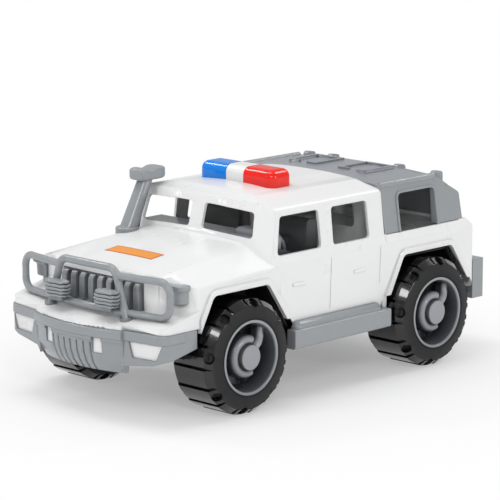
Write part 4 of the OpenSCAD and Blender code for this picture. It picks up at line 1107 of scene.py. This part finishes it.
def tyre_mesh():
    """One tyre about the Y axis: carcass, tread bars and the pockets in every second bar."""
    s = settings().sizes
    edge, r, bore = s.tyre_width / 2, s.tyre_radius, mm(28.45)
    half = [
        (bore, edge - 0.001, 0), (bore + 0.0018, edge, 0.0008), (r - 0.005, edge - 0.0016, 0.0016),
        (r - s.bar_height, edge - 0.007, 0.002)]
    wall = [(radius, -y, bend) for radius, y, bend in half] + half[::-1]
    carcass = turned("carcass", rounded(wall, 5), 128)
    turn = 2 * math.pi / s.bar_count
    ring = {"Count": s.bar_count // 2, "Step": 2 * turn, "Axis": (0, 1, 0), "Start": -math.radians(8)}
    combined(carcass, [repeated(shoulder_pockets(), True, "tyre_black", **ring)], "DIFFERENCE")
    plain = repeated(tread_bar(), True, "tyre_black", **{**ring, "Start": ring["Start"] + turn})
    notched = combined(tread_bar(), [shoulder_pockets()], "DIFFERENCE")
    tyre = joined("tyre", [carcass, plain, repeated(notched, True, "tyre_black", **ring)])
    settle(tyre.data, 34.0)
    tread_start, tread_run = r - 0.0062, 0.0014
    return painted(tyre, "tread", lambda reach, y: min(1.0, max(0.0, (reach - tread_start) / tread_run)))


def rim_mesh():
    """One rim about the Y axis: dish, hub, the ridge half round it, one bent arm and a gusset."""
    edge, hub, ring, ridge_r = settings().sizes.tyre_width / 2, mm(9.7), mm(28.5), mm(12.7)
    face = edge - mm(15)
    dish = turned("dish", rounded([
        (0, face - 0.006, 0), (mm(26.1), face - 0.006, 0), (mm(26.1), -edge + 0.003, 0),
        (ring, -edge + 0.003, 0), (ring, edge, 0.0005), (ring - mm(1.9), edge, 0.0006),
        (ring - mm(2.6), edge - 0.0012, 0.0008), (mm(22.4), face, 0.002), (0, face, 0)], 4), 96)
    boss = turned("boss", rounded([
        (0, face - 0.001, 0), (hub, face - 0.001, 0), (hub, edge, 0.0009), (0, edge, 0)], 5), 72)
    thick = mm(3.9)
    bow = [math.radians(a) for a in range(0, 181, 12)]
    front = [(thick * math.cos(a), thick * math.sin(a)) for a in bow]
    curve = [math.radians(115 - 226 * k / 48) for k in range(49)]
    path = rounded([(0, 0, 0), (-mm(13.6), mm(12), 0.012), (-mm(15.6), mm(20.4), 0)], 10)
    ridge, arm = (
        swept(name, [(x, edge - mm(sunk), z) for x, z in points],
              [*front, (-thick, -mm(root)), (thick, -mm(root))], (0, 1, 0))
        for name, points, sunk, root in (
            ("ridge", [(ridge_r * math.cos(a), ridge_r * math.sin(a)) for a in curve], 7, 8.6),
            ("arm", path, 4.6, 5)))
    for vert in arm.data.vertices:
        vert.co.y -= max(0.0, math.hypot(vert.co.x, vert.co.z) - 0.012) * 0.25
    gusset = prism("gusset", [
        (-mm(5.4), edge - 0.003, -mm(8)), (-mm(5.6), edge - 0.004, -mm(11.6)),
        (-mm(2.4), edge - 0.0128, -mm(23)), (-mm(4), face - 0.001, -mm(8))], (mm(1.3), 0, 0))
    rim = joined("rim", [dish, boss, ridge, arm, gusset])
    settle(rim.data, 34.0, 0.05)

    def depth(reach, y):
        """1 on the dish's wall and floor, where the rim's material paints shade."""
        wall = mm(21) < reach < mm(26.4) and y < edge - 0.0007
        return 1.0 if wall or y < face + 0.0004 else 0.0

    # The deep value marks where painted shade darkens the rim.
    return painted(rim, "deep", depth)


class PATROL_OT_wheels(bpy.types.Operator):
    """Tyres and rims."""

    bl_idname = "patrol.wheels"
    bl_label = "Wheels"

    def execute(self, context):
        """Makes the pieces."""
        masters = (
            ("tyre", tyre_mesh(), "tyre_black", "tyre_plastic"),
            ("rim", rim_mesh(), "rim_grey", "rim_plastic"))
        for wheel in WHEELS:
            low, high = node_box("tyre_" + wheel)
            left = wheel.endswith("left")
            for kind, master, material, slot in masters:
                mesh, node = master.copy(), kind + "_" + wheel
                mesh.transform(
                    Matrix.Translation((low + high) / 2) @ Matrix.Diagonal((1, 1 if left else -1, 1, 1)))
                if not left:
                    mesh.flip_normals()
                placed(linked(node + "_moulding", mesh), material, (node,), "wheel_" + wheel)
        for _, master, _, _ in masters:
            bpy.data.meshes.remove(master)
        return {"FINISHED"}


# Stage

class PATROL_OT_stage(bpy.types.Operator):
    """Floor, light and camera."""

    bl_idname = "patrol.stage"
    bl_label = "Stage"

    def execute(self, context):
        """Makes the stage."""
        scene, stage = context.scene, settings().stage
        reach = 8.0
        mesh = bpy.data.meshes.new("floor")
        mesh.from_pydata([(-reach, -reach, 0), (reach, -reach, 0), (reach, reach, 0), (-reach, reach, 0)], [],
                         [(0, 1, 2, 3)])
        mesh.materials.append(floor_material())
        linked("floor", mesh)
        scene.world = bpy.data.worlds.new("studio")
        scene.world.use_nodes = True
        tree, white = scene.world.node_tree, (1, 1, 1, 1)
        sky = preset(tree.nodes["Background"], {"Color": white, "Strength": stage.sky})
        plain = add_node(tree, "ShaderNodeBackground", {"Color": white})
        path, choose = add_node(tree, "ShaderNodeLightPath"), add_node(tree, "ShaderNodeMixShader")
        wire(
            tree, (path, "Is Camera Ray", choose, "Fac"), (sky, "Background", choose, 1),
            (plain, "Background", choose, 2), (choose, "Shader", tree.nodes["World Output"], "Surface"))
        for name, (place, size, share) in LAMPS.items():
            lamp = bpy.data.lights.new(name, "AREA")
            lamp.size = size
            lamp.energy = stage.key_power * share
            aimed(name, lamp, place, Vector((0, 0, 0.08)) - Vector(place))
        lens = bpy.data.cameras.new("camera")
        lens.lens = stage.lens_mm
        lens.sensor_width = 36
        lens.clip_end = 60
        a, e = stage.azimuth, stage.elevation
        look = -Vector((math.cos(e) * math.cos(a), math.cos(e) * math.sin(a), math.sin(e)))
        scene.camera = aimed("camera", lens, CAMERA_PLACE, look)
        scene.view_settings.view_transform = "Standard"
        return {"FINISHED"}


def aimed(name, data, place, look):
    """A light or camera at a place, facing along a direction."""
    thing = linked(name, data)
    thing.location = place
    thing.rotation_euler = look.to_track_quat("-Z", "Y").to_euler()
    return thing


def floor_material():
    """Pale floor that keeps the shadow and, seen directly, in gloss or through glass, fades to white."""
    material = bpy.data.materials.new("pale_floor")
    material.use_nodes = True
    tree = material.node_tree
    shader = preset(tree.nodes["Principled BSDF"], {"Base Color": (0.9, 0.9, 0.9, 1), "Roughness": 0.9})
    glow, place = add_node(tree, "ShaderNodeEmission"), add_node(tree, "ShaderNodeTexCoord")
    far = add_node(tree, "ShaderNodeVectorMath", operation="LENGTH")
    fade = add_node(
        tree, "ShaderNodeMapRange", {"From Min": 0.06, "From Max": 0.4, "To Min": 0.3, "To Max": 1.0},
        interpolation_type="SMOOTHSTEP")
    path, choose = add_node(tree, "ShaderNodeLightPath"), add_node(tree, "ShaderNodeMixShader")
    direct, seen, both = (add_maths(tree, operation) for operation in ("MAXIMUM", "MAXIMUM", "MULTIPLY"))
    wire(
        tree, (place, "Object", far, 0), (far, "Value", fade, "Value"), (fade, "Result", both, 0),
        (path, "Is Camera Ray", direct, 0), (path, "Is Glossy Ray", direct, 1), (direct, "Value", seen, 0),
        (path, "Is Transmission Ray", seen, 1), (seen, "Value", both, 1), (both, "Value", choose, "Fac"),
        (shader, "BSDF", choose, 1), (glow, "Emission", choose, 2),
        (choose, "Shader", tree.nodes["Material Output"], "Surface"))
    return material


class PATROL_PT_panel(bpy.types.Panel):
    """Lists the settings and the steps."""

    bl_idname = "PATROL_PT_panel"
    bl_label = "Patrol Vehicle"
    bl_space_type = "VIEW_3D"
    bl_region_type = "UI"
    bl_category = "Patrol Vehicle"

    def draw(self, context):
        """Draws the panel."""
        for group in (settings().colours, settings().sizes, settings().stage):
            box = self.layout.box()
            for name in group.bl_rna.properties.keys():
                if name not in ("rna_type", "name"):
                    box.prop(group, name)
        for step in STEPS:
            self.layout.operator(step.bl_idname)


GROUPS = (PatrolColours, PatrolSizes, PatrolStage, PatrolSettings)
STEPS = (
    PATROL_OT_stage, PATROL_OT_body, PATROL_OT_label, PATROL_OT_canopy, PATROL_OT_fittings,
    PATROL_OT_grille, PATROL_OT_lamps, PATROL_OT_snorkel, PATROL_OT_lights, PATROL_OT_cabin,
    PATROL_OT_underbody, PATROL_OT_liners, PATROL_OT_wheels)
CLASSES = (*GROUPS, *STEPS, PATROL_PT_panel)


def register():
    """Registers the classes and the settings."""
    for item in CLASSES:
        bpy.utils.register_class(item)
    bpy.types.Scene.patrol_vehicle = bpy.props.PointerProperty(type=PatrolSettings)


def unregister():
    """Takes the classes and the settings away."""
    del bpy.types.Scene.patrol_vehicle
    for item in reversed(CLASSES):
        bpy.utils.unregister_class(item)


def main():
    """Makes the stage and every piece."""
    register()
    for step in STEPS:
        group, call = step.bl_idname.split(".")
        getattr(getattr(bpy.ops, group), call)()


if __name__ == "__main__":
    main()
